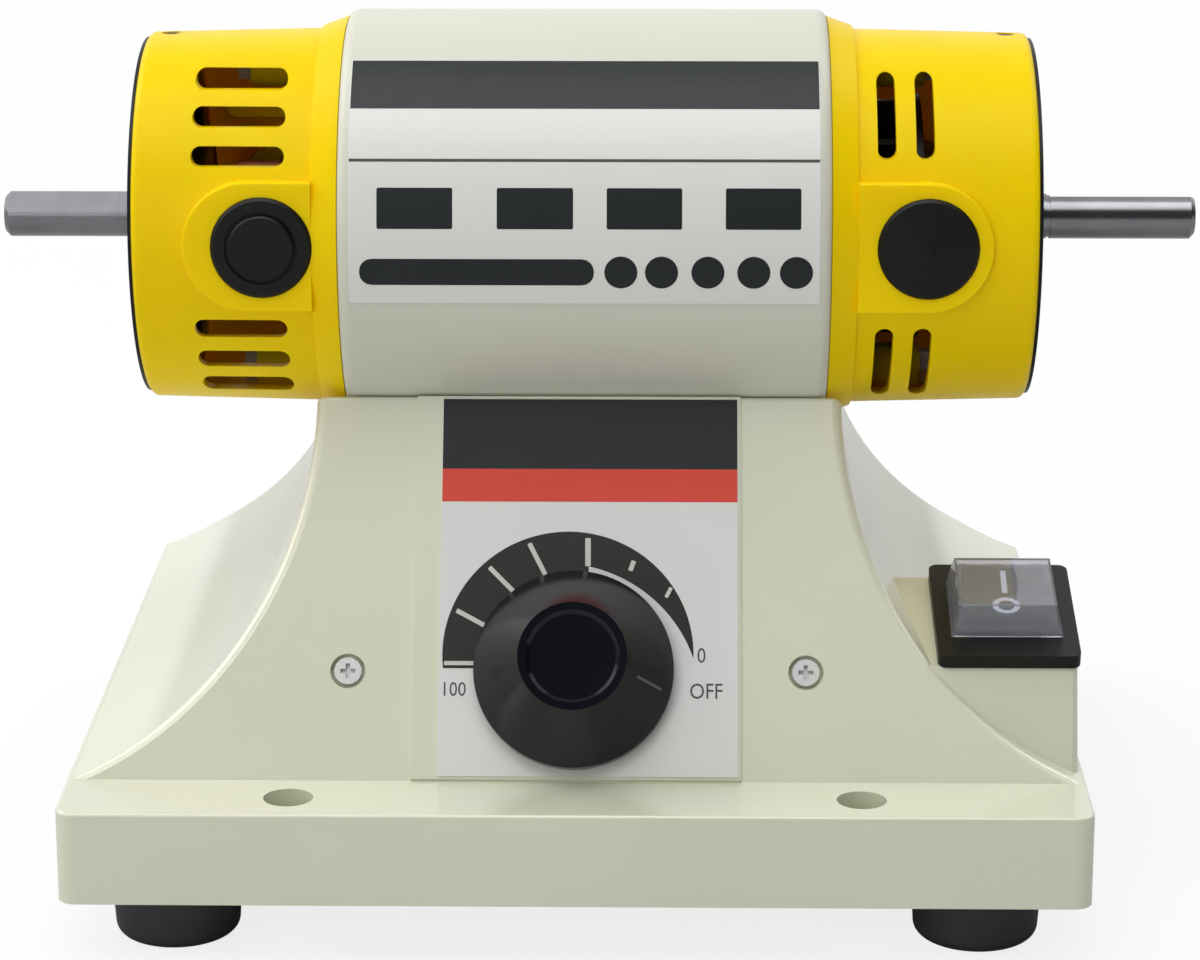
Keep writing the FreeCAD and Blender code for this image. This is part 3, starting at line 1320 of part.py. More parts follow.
def make_bolts():
    bolts = HOUSING.place(new_body("through_bolts"))
    head_low = -S.bolt_boss_end - S.bolt_head_thick
    heads = new_sketch(bolts, "bolt_heads", "YZ_Plane", head_low)
    rods = new_sketch(bolts, "bolt_rods", "YZ_Plane", -S.bolt_boss_end)
    for x, y in BOLT_SPOTS:
        hexagon(heads, x, y, S.bolt_head)
        circle(rods, x, y, S.bolt_diameter)
    pull(bolts, "Pad", "bolt_head", heads, S.bolt_head_thick)
    pull(bolts, "Pad", "bolt_rod", rods, S.bolt_boss_end * 2 + S.bolt_head_thick + CLEAR)
    keep(bolts)
    nuts = HOUSING.place(new_body("through_bolt_nuts"))
    plan = new_sketch(nuts, "bolt_nut_plan", "YZ_Plane", S.bolt_boss_end)
    for x, y in BOLT_SPOTS:
        hexagon(plan, x, y, S.bolt_head)
        circle(plan, x, y, S.bolt_diameter + S.shaft_gap * 2)
    pull(nuts, "Pad", "bolt_nuts", plan, S.bolt_head_thick)
    keep(nuts)


def make_mount():
    washer_low = -seat_drop - S.mount_washer_thick
    make_screws("motor_mount_screws", MOTOR, MOUNT_SPOTS, S.mount_screw, S.mount_head,
                S.mount_head_thick, washer_low, -sleeve_radius + S.mount_entry - S.shaft_gap)
    make_rings("motor_mount_washers", MOTOR, MOUNT_SPOTS, S.mount_washer,
               S.mount_screw + S.shaft_gap * 2, washer_low, S.mount_washer_thick)
    saddle = sleeve_radius + S.saddle_gap
    wall_in = saddle + S.base_wall
    make_grommet("motor_lead_grommet", MOTOR, S.lead_hole / 2, -wall_in, -saddle, ZERO)
    make_grommet("cord_inlet_bush", REAR, S.cord_bore / 2 + S.grommet_wall, -S.base_wall, ZERO,
                 S.grommet_flange)


def make_grommet(name, frame, radius, low, high, flange):
    """A rubber bush in a wall between low and high, flanged inside and, when flange
    isn't zero, outside too."""
    body = frame.place(new_body(name))
    side = new_sketch(body, name + "_side", "XZ_Plane")
    rim = radius + S.grommet_flange
    bore = radius - S.grommet_wall
    inside = low - S.grommet_lip
    profile = [(bore, inside), (rim, inside), (rim, low), (radius, low), (radius, high)]
    if flange.value:
        profile += [
            (radius + flange, high), (radius + flange, high + S.grommet_lip),
            (bore, high + S.grommet_lip)]
    else:
        profile += [(bore, high)]
    polygon(side, profile)
    turn(body, "Revolution", name + "_turned", side, axis="V_Axis")
    return keep(body)


# ---- brushes -----------------------------------------------------------------------

holder_low = S.socket_depth - CLEAR
brush_face = S.commutator_diameter / 2 + S.brush_gap
brush_top = brush_face + S.brush_length


def make_brush_set(side, frame):
    holder = frame.place(new_body("brush_holder_" + side))
    plan = new_sketch(holder, "holder_plan_" + side, "XY_Plane", holder_low)
    circle(plan, ZERO, ZERO, S.holder_diameter)
    rectangle(plan, ZERO, ZERO, S.brush_wide + S.shaft_gap * 4, S.brush_deep + S.shaft_gap * 4)
    pull(holder, "Pad", "holder_" + side, plan, cap_floor - holder_low)
    keep(holder)

    brush = frame.place(new_body("carbon_brush_" + side))
    plan = new_sketch(brush, "brush_plan_" + side, "XY_Plane", brush_face - S.segment_depth)
    rectangle(plan, ZERO, ZERO, S.brush_wide, S.brush_deep)
    pull(brush, "Pad", "brush_" + side, plan, S.brush_length + S.segment_depth)
    face = new_sketch(brush, "brush_face_" + side, "YZ_Plane")
    circle(face, ZERO, ZERO, brush_face * 2)
    pull(brush, "Pocket", "brush_cut_" + side, face, S.brush_wide * 2, symmetric=True)
    keep(brush)

    spring = frame.place(new_body("brush_spring_" + side))
    wire = new_sketch(spring, "wire_" + side, "XZ_Plane")
    low = brush_top + S.spring_wire / 2
    rise = cap_floor - brush_top - S.spring_wire
    circle(wire, (S.spring_diameter - S.spring_wire) / 2, low, S.spring_wire)
    coil = spring.newObject("PartDesign::AdditiveHelix", "coil_" + side)
    coil.Profile = wire
    coil.ReferenceAxis = (wire, ["V_Axis"])
    coil.Mode = "height-turns-angle"
    bind(coil, "Height", rise)
    bind(coil, "Turns", S.spring_turns)
    keep(spring)

    cap = frame.place(new_body("brush_cap_" + side))
    radius = S.cap_diameter / 2
    button = S.cap_button / 2
    top = pad_face + S.cap_proud
    outline = new_sketch(cap, "cap_side_" + side, "XZ_Plane")
    polygon(outline, [
        (ZERO, cap_floor), (radius, cap_floor), (radius, top - S.cap_round),
        (radius - S.cap_round, top), (button + S.cap_groove, top),
        (button + S.cap_groove, top - S.cap_groove), (button, top - S.cap_groove),
        (button, top + S.cap_groove / 2), (button - S.cap_groove / 2, top + S.cap_groove),
        (ZERO, top + S.cap_groove)])
    turn(cap, "Revolution", "cap_" + side, outline, axis="V_Axis")
    keep(cap)


def make_plugs():
    """The two plain plugs on the fan side, front and rear."""
    plugs = PLUGS.place(new_body("blanking_plugs"))
    radius = S.cap_diameter / 2
    top = pad_face + S.cap_proud
    outline = new_sketch(plugs, "plug_side", "XZ_Plane")
    for way in (-1, 1):
        polygon(outline, [
            (ZERO, cap_floor * way), (radius, cap_floor * way),
            (radius, (top - S.cap_round) * way), (radius - S.cap_round, top * way),
            (ZERO, (top + S.cap_round) * way)])
    turn(plugs, "Revolution", "plugs", outline, axis="V_Axis")
    keep(plugs)


# ---- stator ------------------------------------------------------------------------

stack_half = S.stack_length / 2
coil_low = S.shoe_radius + S.coil_gap
coil_high = S.yoke_radius - S.coil_gap


def make_stator():
    core = HOUSING.place(new_body("stator_core"))
    disc = new_sketch(core, "stator_disc", "YZ_Plane")
    circle(disc, ZERO, ZERO, stator_radius * 2)
    circle(disc, ZERO, ZERO, S.bore_diameter)
    for x, y in BOLT_SPOTS:
        circle(disc, x, y, S.bolt_diameter + S.shaft_gap * 2)
    pull(core, "Pad", "stator_stack", disc, S.stack_length, symmetric=True)
    openings = (
        ("coil_space", S.shoe_radius, S.yoke_radius, S.coil_angle),
        ("tip_space", S.bore_diameter / 2 - CLEAR, S.shoe_radius + S.coil_gap / 2, S.tip_angle))
    for name, low, high, angle in openings:
        for way in (-1, 1):
            label = "%s_%d" % (name, way + 1)
            sketch = new_sketch(core, label, "XY_Plane")
            middle = (low + high) / 2 * way
            rectangle(sketch, ZERO, middle, S.stack_length + CLEAR * 2, high - low)
            turn(core, "Groove", label + "_cut", sketch, angle)
    keep(core)

    for name, way in (("upper_field_coil", 1), ("lower_field_coil", -1)):
        coil = HOUSING.place(new_body(name))
        middle = (coil_low + coil_high) / 2 * way
        side = new_sketch(coil, name + "_side", "XZ_Plane")
        rectangle(side, ZERO, middle, S.stack_length + S.coil_overhang * 2, coil_high - coil_low)
        turn(coil, "Revolution", name + "_band", side, S.coil_angle)
        window = new_sketch(coil, name + "_window", "XZ_Plane")
        rectangle(window, ZERO, middle, S.stack_length + CLEAR * 2, coil_high - coil_low + CLEAR)
        turn(coil, "Groove", name + "_opening", window, S.coil_window)
        keep(coil)


# ---- spindle -----------------------------------------------------------------------

core_bore = S.core_diameter / 2 + S.shaft_gap


def make_spindle():
    shaft = MOTOR.place(new_body("shaft_turned"))
    radius = S.spindle_diameter / 2
    middle = S.core_diameter / 2
    tip = S.tip_chamfer
    side = new_sketch(shaft, "shaft_side", "XZ_Plane")
    left_flat = S.flat_length - S.left_reach
    right_flat = S.right_reach - S.flat_length
    relief = radius - S.relief_depth
    polygon(side, [
        (-S.left_reach, ZERO), (-S.left_reach, radius - tip), (tip - S.left_reach, radius),
        (left_flat, radius), (left_flat, relief), (left_flat + S.relief_width, relief),
        (left_flat + S.relief_width, radius),
        (-bearing_near, radius), (-bearing_near, middle), (bearing_near, middle),
        (bearing_near, radius), (right_flat - S.relief_width, radius),
        (right_flat - S.relief_width, relief), (right_flat, relief), (right_flat, radius),
        (S.right_reach - tip, radius), (S.right_reach, radius - tip), (S.right_reach, ZERO)])
    turn(shaft, "Revolution", "shaft_body", side)
    left = Frame(motor_x, S.motor_y, S.motor_z, 90 - S.left_flat_angle)
    right = Frame(motor_x, S.motor_y, S.motor_z, 450 - S.right_flat_angle)
    low = radius - S.flat_depth
    flats = [
        block("left_flat", left, (left_flat - S.left_reach - CLEAR) / 2, ZERO, low,
              S.flat_length + CLEAR, S.core_diameter, radius + CLEAR),
        block("right_flat", right, (right_flat + S.right_reach + CLEAR) / 2, ZERO, low,
              S.flat_length + CLEAR, S.core_diameter, radius + CLEAR)]
    keep(cut("spindle_shaft", shaft, flats))

    core = MOTOR.place(new_body("armature_core"))
    disc = new_sketch(core, "armature_disc", "YZ_Plane")
    circle(disc, ZERO, ZERO, S.bore_diameter - S.air_gap * 2)
    circle(disc, ZERO, ZERO, core_bore * 2)
    pull(core, "Pad", "armature_stack", disc, S.stack_length, symmetric=True)
    slot = new_sketch(core, "armature_slot", "YZ_Plane")
    circle(slot, ZERO, S.slot_radius, S.slot_round)
    mouth = new_sketch(core, "armature_mouth", "YZ_Plane")
    rectangle(mouth, ZERO, (S.slot_radius + S.bore_diameter / 2) / 2, S.slot_mouth,
              S.bore_diameter / 2 - S.slot_radius)
    length = S.stack_length + CLEAR
    cuts = [pull(core, "Pocket", "slot_cut", slot, length, symmetric=True),
            pull(core, "Pocket", "mouth_cut", mouth, length, symmetric=True)]
    repeat_round(core, "armature_slots", cuts, "X_Axis", S.armature_slots)
    keep(core)

    coil = MOTOR.place(new_body("armature_winding"))
    ends = new_sketch(coil, "winding_side", "XZ_Plane")
    near = stack_half + S.shaft_gap * 4
    far = near + S.winding_overhang
    out = S.winding_diameter / 2
    riser = S.brush_x - S.commutator_length / 2 - S.riser_width - S.shaft_gap * 2
    polygon(ends, [
        (near, core_bore), (near, out), (far - CLEAR * 2, out), (far, out - CLEAR * 2),
        (far, core_bore)])
    polygon(ends, [
        (-near, core_bore), (-near, out), (CLEAR * 2 - far, out), (-far, out - CLEAR * 3),
        (-riser, S.commutator_diameter / 2), (-riser, core_bore)])
    turn(coil, "Revolution", "winding_ends", ends)
    bar = new_sketch(coil, "winding_bar", "YZ_Plane")
    circle(bar, ZERO, S.slot_radius, S.slot_round - S.shaft_gap * 8)
    bars = pull(coil, "Pad", "winding_bars", bar, near * 2 + CLEAR, symmetric=True)
    repeat_round(coil, "winding_set", [bars], "X_Axis", S.armature_slots)
    keep(coil)

    commutator = MOTOR.place(new_body("commutator"))
    side = new_sketch(commutator, "commutator_side", "XZ_Plane")
    start = -S.brush_x - S.commutator_length / 2
    end = -S.brush_x + S.commutator_length / 2
    track = S.commutator_diameter / 2
    polygon(side, [
        (start, core_bore), (start, track), (end, track), (end, S.riser_diameter / 2),
        (end + S.riser_width, S.riser_diameter / 2), (end + S.riser_width, core_bore)])
    turn(commutator, "Revolution", "commutator_turned", side)
    gap = new_sketch(commutator, "segment_plan", "YZ_Plane", start - CLEAR)
    rectangle(gap, ZERO, track, S.segment_gap, S.segment_depth * 2)
    grooves = pull(commutator, "Pocket", "segment_cut", gap, S.commutator_length + CLEAR,
                   backwards=True)
    repeat_round(commutator, "segment_set", [grooves], "X_Axis", S.armature_slots)
    keep(commutator)

    fan = MOTOR.place(new_body("cooling_fan"))
    near = S.fan_x - S.fan_width / 2
    far = S.fan_x + S.fan_width / 2
    side = new_sketch(fan, "fan_side", "XZ_Plane")
    polygon(side, [
        (near, core_bore), (near, S.fan_hub / 2), (far - S.fan_disc, S.fan_hub / 2),
        (far - S.fan_disc, S.fan_diameter / 2), (far, S.fan_diameter / 2), (far, core_bore)])
    turn(fan, "Revolution", "fan_hub_and_disc", side)
    blade = new_sketch(fan, "blade_side", "YZ_Plane", near)
    rectangle(blade, ZERO, (S.fan_hub + S.fan_diameter) / 4 - CLEAR, S.fan_blade,
              (S.fan_diameter - S.fan_hub) / 2)
    first = pull(fan, "Pad", "fan_blade_pad", blade, S.fan_width - S.fan_disc / 2)
    repeat_round(fan, "fan_blade_set", [first], "X_Axis", S.fan_blades)
    keep(fan)


def make_bearing(side, way):
    outer = S.bearing_outer / 2
    inner = S.spindle_diameter / 2
    race_out = outer - S.bearing_race
    race_in = inner + S.bearing_step
    lip = race_in + S.rocker_gap
    shield = S.shield_thick
    ring = MOTOR.place(new_body(side + "_bearing_outer"))
    sketch = new_sketch(ring, side + "_outer_side", "XZ_Plane")
    polygon(sketch, [(x * way, r) for x, r in (
        (bearing_near, outer), (bearing_far, outer), (bearing_far, lip),
        (bearing_far - shield, lip), (bearing_far - shield, race_out),
        (bearing_near + shield, race_out), (bearing_near + shield, lip), (bearing_near, lip))])
    turn(ring, "Revolution", side + "_outer_ring", sketch)
    keep(ring)
    ring = MOTOR.place(new_body(side + "_bearing_inner"))
    sketch = new_sketch(ring, side + "_inner_side", "XZ_Plane")
    polygon(sketch, [(x * way, r) for x, r in (
        (bearing_near, inner), (bearing_far, inner), (bearing_far, race_in),
        (bearing_near, race_in))])
    turn(ring, "Revolution", side + "_inner_ring", sketch)
    keep(ring)


def make_everything():
    make_base()
    make_floor()
    make_switch()
    make_speed_control()
    make_board()
    make_sleeve()
    make_end_housing("left_end_housing", -1, S.brush_x, S.left_pad_shift, left_vents, True)
    make_end_housing("right_end_housing", 1, S.plug_x, ZERO, right_vents, False)
    make_end_plate("left_end_plate", -1, None)
    make_end_plate("right_end_plate", 1, S.boss_rise)
    make_rim_screws()
    make_bolts()
    make_mount()
    make_brush_set("front", FRONT_BRUSH)
    make_brush_set("rear", REAR_BRUSH)
    make_plugs()
    make_stator()
    make_spindle()
    make_bearing("left", -1)
    make_bearing("right", 1)


def check_and_write():
    """Stops if any object failed; otherwise writes each sub-part's STEP file."""
    doc.recompute()
    failed = [thing.Name for thing in doc.Objects
              if "Invalid" in thing.State or "Error" in thing.State]
    if failed:
        raise RuntimeError("these objects failed: %s" % ", ".join(failed))
    for thing in PARTS:
        if thing.Shape.isNull() or not thing.Shape.isValid() or not thing.Shape.Solids:
            raise RuntimeError("the shape of %s is not sound" % thing.Label)
    os.makedirs("parts", exist_ok=True)
    for thing in PARTS:
        thing.Shape.exportStep("parts/%s.step" % thing.Label)
        print("%-24s solids %d  volume %.0f" % (
            thing.Label, len(thing.Shape.Solids), thing.Shape.Volume))


make_everything()
check_and_write()
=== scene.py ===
# %% [markdown]
# # A bench polishing lathe, dressed for its picture
#
# The machine is a motor with a spindle out of both ends. It lies on a cast base with a speed knob
# and a rocker switch. All the solid pieces come from CAD, in metres, already in place.
# This lesson gives them their finishes, prints the labels, and sets up the light and the camera.
#
# The frame is loaded first, because every piece added later sits on a piece that is in it.

# %% Load the machine
import json
import math

import bpy
from mathutils import Matrix, Vector


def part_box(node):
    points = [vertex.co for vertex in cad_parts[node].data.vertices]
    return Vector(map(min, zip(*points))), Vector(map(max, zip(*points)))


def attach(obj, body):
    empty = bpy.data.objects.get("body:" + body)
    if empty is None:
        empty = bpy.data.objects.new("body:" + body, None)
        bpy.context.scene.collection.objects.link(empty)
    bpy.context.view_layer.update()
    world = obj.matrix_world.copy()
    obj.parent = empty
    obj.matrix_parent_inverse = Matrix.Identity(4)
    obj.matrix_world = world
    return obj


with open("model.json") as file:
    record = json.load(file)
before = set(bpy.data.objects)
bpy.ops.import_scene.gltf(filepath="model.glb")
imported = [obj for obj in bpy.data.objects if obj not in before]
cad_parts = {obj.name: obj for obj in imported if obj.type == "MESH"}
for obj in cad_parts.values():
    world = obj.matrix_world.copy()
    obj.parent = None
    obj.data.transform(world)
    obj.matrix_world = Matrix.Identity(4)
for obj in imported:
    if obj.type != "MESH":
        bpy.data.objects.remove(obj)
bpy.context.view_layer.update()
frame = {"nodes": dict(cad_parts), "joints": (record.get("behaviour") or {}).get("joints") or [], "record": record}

nodes = frame["nodes"]
pivots = {joint["name"]: Vector(joint["pos_m"]) for joint in frame["joints"]}
MM = 0.001
print("pieces from CAD:", len(nodes), "and joints:", sorted(pivots))

# %% [markdown]
# ## The camera
#
# A camera can be placed by eye, or worked out from straight edges and circles on the object.
# The second way is exact, so the place, the three angles and the lens are written down here.
# The camera stands in front of the machine and looks down on it by 16 degrees.

# %% Camera
CAMERA_PLACE = (0.01372, -0.84606, 0.3221)
PITCH, YAW, ROLL = math.radians(16.0539), math.radians(-0.9159), math.radians(-0.0587)
LENS, SENSOR = 116.214, 36.0

bpy.ops.object.camera_add(location=CAMERA_PLACE)
camera = bpy.context.object
gaze = Vector((math.sin(YAW) * math.cos(PITCH), math.cos(YAW) * math.cos(PITCH), -math.sin(PITCH)))
turned = gaze.to_track_quat("-Z", "Y").to_matrix() @ Matrix.Rotation(ROLL, 3, "Z")
camera.rotation_euler = turned.to_euler()
camera.data.sensor_width, camera.data.lens = SENSOR, LENS
bpy.context.scene.camera = camera
print("camera looks along", [round(part, 3) for part in gaze])

# %% [markdown]
# ## Writing finishes as sums
#
# A finish is a tree of shader nodes. Dozens of nodes are slow to add one by one, and the tree says
# little about what it does. A small class that wraps a node's output and knows how to add, subtract
# and multiply lets a finish read like a formula, such as `0.4 + grain * 0.1`.

# %% Signals and finishes
class Signal:
    """What comes out of one node of a finish. Sums and products on it add Math nodes."""

    def __init__(self, finish, socket):
        self.finish, self.socket = finish, socket

    def join(self, operation, first, second):
        settings = {"operation": operation}
        return self.finish.node("ShaderNodeMath", settings, {0: first, 1: second})

    def __add__(self, other):
        return self.join("ADD", self, other)

    def __sub__(self, other):
        return self.join("SUBTRACT", self, other)

    def __rsub__(self, other):
        return self.join("SUBTRACT", other, self)

    def __mul__(self, other):
        return self.join("MULTIPLY", self, other)

    __radd__ = __add__
    __rmul__ = __mul__


class Finish:
    """The nodes of one material, or of the world, with the one method that adds a node."""

    def __init__(self, owner, shader="Principled BSDF", space="Object"):
        self.owner = owner
        owner.use_nodes = True
        self.tree = owner.node_tree
        self.shader = self.tree.nodes[shader]
        self.place = self.node("ShaderNodeTexCoord", output=space)

    def node(self, kind, settings=None, inputs=None, output=0):
        made = self.tree.nodes.new(kind)
        for key, value in (settings or {}).items():
            setattr(made, key, value)
        for key, value in (inputs or {}).items():
            self.feed(made.inputs[key], value)
        return Signal(self, made.outputs[output])

    def feed(self, socket, value):
        if isinstance(value, Signal):
            self.tree.links.new(value.socket, socket)
        else:
            socket.default_value = value

    def shade(self, **sockets):
        for key, value in sockets.items():
            self.feed(self.shader.inputs[key.replace("_", " ")], value)
        return self

    def noise(self, scale, stretch=(1, 1, 1), detail=2.0):
        place = self.node("ShaderNodeMapping", {"vector_type": "POINT"},
                          {"Vector": self.place, "Scale": stretch})
        return self.node("ShaderNodeTexNoise", {},
                         {"Vector": place, "Scale": scale, "Detail": detail})

    def between(self, value, low, high):
        """0 where value is under low, 1 where it is over high, and even in between."""
        return self.node("ShaderNodeMapRange", {},
                         {"Value": value, "From Min": low, "From Max": high})

    def mix(self, share, first, second):
        return self.node("ShaderNodeMix", {"data_type": "RGBA"},
                         {0: share, 6: first, 7: second}, output=2)

    def bump(self, height, depth):
        """Raises the surface by height, which goes from 0 to 1, times depth in metres."""
        raised = self.node("ShaderNodeBump", {},
                           {"Height": height, "Distance": depth, "Strength": 1.0})
        return self.shade(Normal=raised)


finishes = {}


def new_finish(name):
    return Finish(bpy.data.materials.new(name))


def slot_finish(slot):
    """A finish for the pieces of one material slot, kept under the slot's name."""
    finishes[slot] = new_finish(slot)
    return finishes[slot]


def colour(red, green, blue):
    """A colour as a screen gives it, from 0 to 255, made linear for the shader."""
    parts = [value / 255 for value in (red, green, blue)]
    return tuple(v / 12.92 if v <= 0.04045 else ((v + 0.055) / 1.055) ** 2.4
                 for v in parts) + (1.0,)


# %% [markdown]
# ## Enamel
#
# The base is die-cast and sprayed with a satin cream-green enamel, and the motor's tube with the
# same kind of paint in a greyer cream. Sprayed enamel isn't a flat colour: its tint drifts over a
# hand's width, it has a fine orange peel, and the casting under it isn't quite flat.
# Three layers of noise at those three sizes give just that. The base has a clear lacquer on top,
# which mirrors the lamps more sharply than the paint does. The tube has none.

# %% Enamel finish
LACQUER_ROUGHNESS, LACQUER_IOR = 0.14, 1.6


def enamel(slot, light, deep, gloss, peel_depth, lacquer):
    paint = slot_finish(slot)
    drift = paint.noise(14.0)
    peel = paint.noise(1500.0, detail=1.0)
    wave = paint.noise(90.0, detail=1.0)
    paint.shade(Base_Color=paint.mix(paint.between(drift, 0.35, 0.65), light, deep),
                Roughness=gloss + paint.noise(45.0) * 0.1, Coat_Weight=lacquer,
                Coat_Roughness=LACQUER_ROUGHNESS, Coat_IOR=LACQUER_IOR)
    paint.bump(peel * 0.5 + wave, peel_depth)


enamel("casting_paint", colour(221, 223, 199), colour(216, 218, 194), 0.34, 0.00006, 1.0)
enamel("sleeve_paint", colour(217, 218, 203), colour(213, 214, 199), 0.36, 0.00003, 0.0)
print("enamels:", sorted(finishes))

# %% [markdown]
# ## Moulded plastics and rubber
#
# Moulded plastic copies its mould: a spark-eroded mould leaves a fine even grain, and a polished
# one leaves gloss. The colour itself is very even, so roughness and height vary most.
# The yellow one also lets light in by a few millimetres, which warms its shaded side.
# The rubber of the feet is duller and a little dusty, which lightens it in patches.

# %% Plastic finishes
def moulded(slot, tint, worn_tint, roughness, grain_depth, grain_scale=2200.0):
    """A moulded finish. It is returned, so that one call can go on shading it."""
    plastic = slot_finish(slot)
    cloud = plastic.noise(30.0, detail=4.0)
    grain = plastic.noise(grain_scale, detail=1.0)
    plastic.shade(Base_Color=plastic.mix(plastic.between(cloud, 0.4, 0.75), tint, worn_tint),
                  Roughness=roughness + cloud * 0.08)
    return plastic.bump(grain, grain_depth)


moulded("yellow_plastic", colour(255, 215, 0), colour(254, 210, 0), 0.3, 0.00003).shade(
    Specular_IOR_Level=0.1, Subsurface_Weight=0.3, Subsurface_Radius=(1.0, 0.6, 0.05),
    Subsurface_Scale=6.0 * MM)
moulded("black_plastic", colour(13, 14, 13), colour(19, 19, 18), 0.36, 0.00004).shade(
    Specular_IOR_Level=0.24)
moulded("knob_plastic", colour(9, 12, 20), colour(13, 16, 27), 0.1, 0.00001).shade(
    Specular_IOR_Level=0.3)
moulded("grey_rubber", colour(34, 35, 37), colour(50, 51, 53), 0.62, 0.00008, 900.0)
moulded("component_plastic", colour(38, 66, 104), colour(48, 76, 112), 0.35, 0.00002)
print("plastics done, finishes so far:", len(finishes))

# %% [markdown]
# ## Metals
#
# A turned shaft carries fine rings around its axis, a rolled sheet carries lines along it, and a
# stack of laminations shows the edge of every sheet. All are noise that is stretched: fine across
# the marks and long along them. Beside tint and gloss, the stretch is all that differs.
# Zinc plating is duller than bare metal, so it is mixed with a plain surface.

# %% Metal finishes
def metal(slot, tint, second_tint, roughness, stretch, mark_depth):
    plate = slot_finish(slot)
    marks = plate.noise(1.0, stretch, detail=3.0)
    cloud = plate.noise(70.0, detail=3.0)
    plate.shade(Base_Color=plate.mix(plate.between(cloud, 0.35, 0.7), tint, second_tint),
                Metallic=1.0, Roughness=roughness + marks * 0.16)
    return plate.bump(marks, mark_depth)


AROUND_X = (5200.0, 120.0, 120.0)
ALONG_X = (110.0, 3600.0, 3600.0)
ALL_WAYS = (1400.0, 1400.0, 1400.0)
SHEET_EDGES = (9000.0, 60.0, 60.0)
WIRE_TURNS = (300.0, 2600.0, 2600.0)
metal("steel", colour(136, 136, 140), colour(124, 124, 128), 0.14, AROUND_X, 0.000001)
metal("zinc_steel", colour(206, 208, 212), colour(214, 212, 204), 0.3, ALL_WAYS, 0.00001).shade(
    Metallic=0.6)
metal("dark_steel", colour(62, 60, 60), colour(84, 80, 76), 0.34, ALL_WAYS, 0.00001)
metal("brass", colour(205, 172, 92), colour(190, 152, 76), 0.26, ALL_WAYS, 0.00001)
metal("aluminium", colour(206, 208, 210), colour(192, 194, 198), 0.3, ALONG_X, 0.00001)
metal("laminated_steel", colour(120, 122, 128), colour(96, 92, 90), 0.36, SHEET_EDGES, 0.00005)
metal("copper_wire", colour(176, 82, 40), colour(150, 62, 30), 0.3, WIRE_TURNS, 0.0001)
metal("commutator_copper", colour(214, 132, 88), colour(120, 74, 52), 0.28, AROUND_X, 0.00002)
print("metals done, finishes so far:", len(finishes))

# %% [markdown]
# ## Carbon, circuit board and labels
#
# Carbon brushes are pressed powder, so they are dull with a faint sparkle. The board is green
# lacquer over copper tracks, which show as slightly lighter cells. Both labels are printed film:
# even, satin and nearly flat.

# %% Carbon, board and label finishes
carbon = slot_finish("carbon")
speck = carbon.noise(5200.0, detail=1.0)
carbon.shade(Base_Color=carbon.mix(carbon.between(speck, 0.6, 0.75),
                                   colour(34, 34, 36), colour(92, 92, 96)),
             Roughness=0.75 - speck * 0.2)
carbon.bump(speck, 0.00003)

board = slot_finish("board_green")
cells = board.node("ShaderNodeTexVoronoi", {"feature": "DISTANCE_TO_EDGE"},
                   {"Vector": board.place, "Scale": 260.0}, output="Distance")
tracks = board.between(cells, 0.05, 0.09)
board.shade(Base_Color=board.mix(tracks, colour(40, 104, 62), colour(24, 78, 46)),
            Roughness=0.28 + board.noise(60.0) * 0.1)
board.bump(1 - tracks, 0.00003)


def printed_film(slot, tint, second_tint, roughness):
    film = slot_finish(slot)
    cloud = film.noise(38.0, detail=3.0)
    film.shade(Base_Color=film.mix(cloud, tint, second_tint),
               Roughness=roughness + film.noise(400.0) * 0.08)
    film.bump(film.noise(240.0), 0.00001)


printed_film("panel_label", colour(222, 223, 220), colour(216, 217, 215), 0.36)
printed_film("sleeve_label", colour(230, 231, 226), colour(225, 226, 220), 0.34)
print("finishes so far:", len(finishes))

# %% [markdown]
# ## The clear boot
#
# A soft clear boot keeps dust out of the switch. Clear plastic is all transmission: light bends on
# its way in and out of the wall, and the edges shine where the wall is seen end on. The CAD piece
# has a real wall, so the finish needs only a slightly uneven surface. A small share of plain
# surface under the clear one stands for the haze of a boot that has been wiped often.

# %% Clear boot finish
boot = slot_finish("clear_boot")
ripple = boot.noise(160.0, detail=2.0)
boot.shade(Base_Color=colour(240, 242, 250), Transmission_Weight=0.88, IOR=1.45,
           Roughness=0.03 + ripple * 0.05)
boot.bump(ripple, 0.0001)
print("finishes:", len(finishes))

# %% [markdown]
# ## Dressing the CAD pieces
#
# The record says which finish every piece takes. Only the two screws in the panel get a paler
# steel than the spindle's, because they are plated.

# %% Give every CAD piece its finish
def dress(node, finish):
    for slot in nodes[node].material_slots:
        slot.material = finish.owner


for part in frame["record"]["subparts"]:
    dress(part["node"], finishes[part["material_slot"]])
dress("panel_screws", finishes["zinc_steel"])

# %% [markdown]
# ## Printing on the panel
#
# Ink has almost no thickness, so it could be a pattern in the label's finish. Printed by geometry
# it stays sharp however close the camera comes. Each mark is therefore a plate a few hundredths of
# a millimetre thick. It is drawn flat, as on a drawing of the panel, and then laid on the label.
# The panel leans back, so one matrix carries the drawing there: x runs across the panel, y up it
# and z out of it.

# %% Inks
def ink(name, tint, second_tint, roughness=0.36):
    """A printed mark's finish: nearly even, with the slight clouding of screen printing."""
    film = new_finish(name)
    film.shade(Base_Color=film.mix(film.noise(120.0, detail=3.0), tint, second_tint),
               Roughness=roughness + film.noise(500.0) * 0.08, Specular_IOR_Level=0.3)
    return film.bump(film.noise(900.0, detail=1.0), 0.00001)


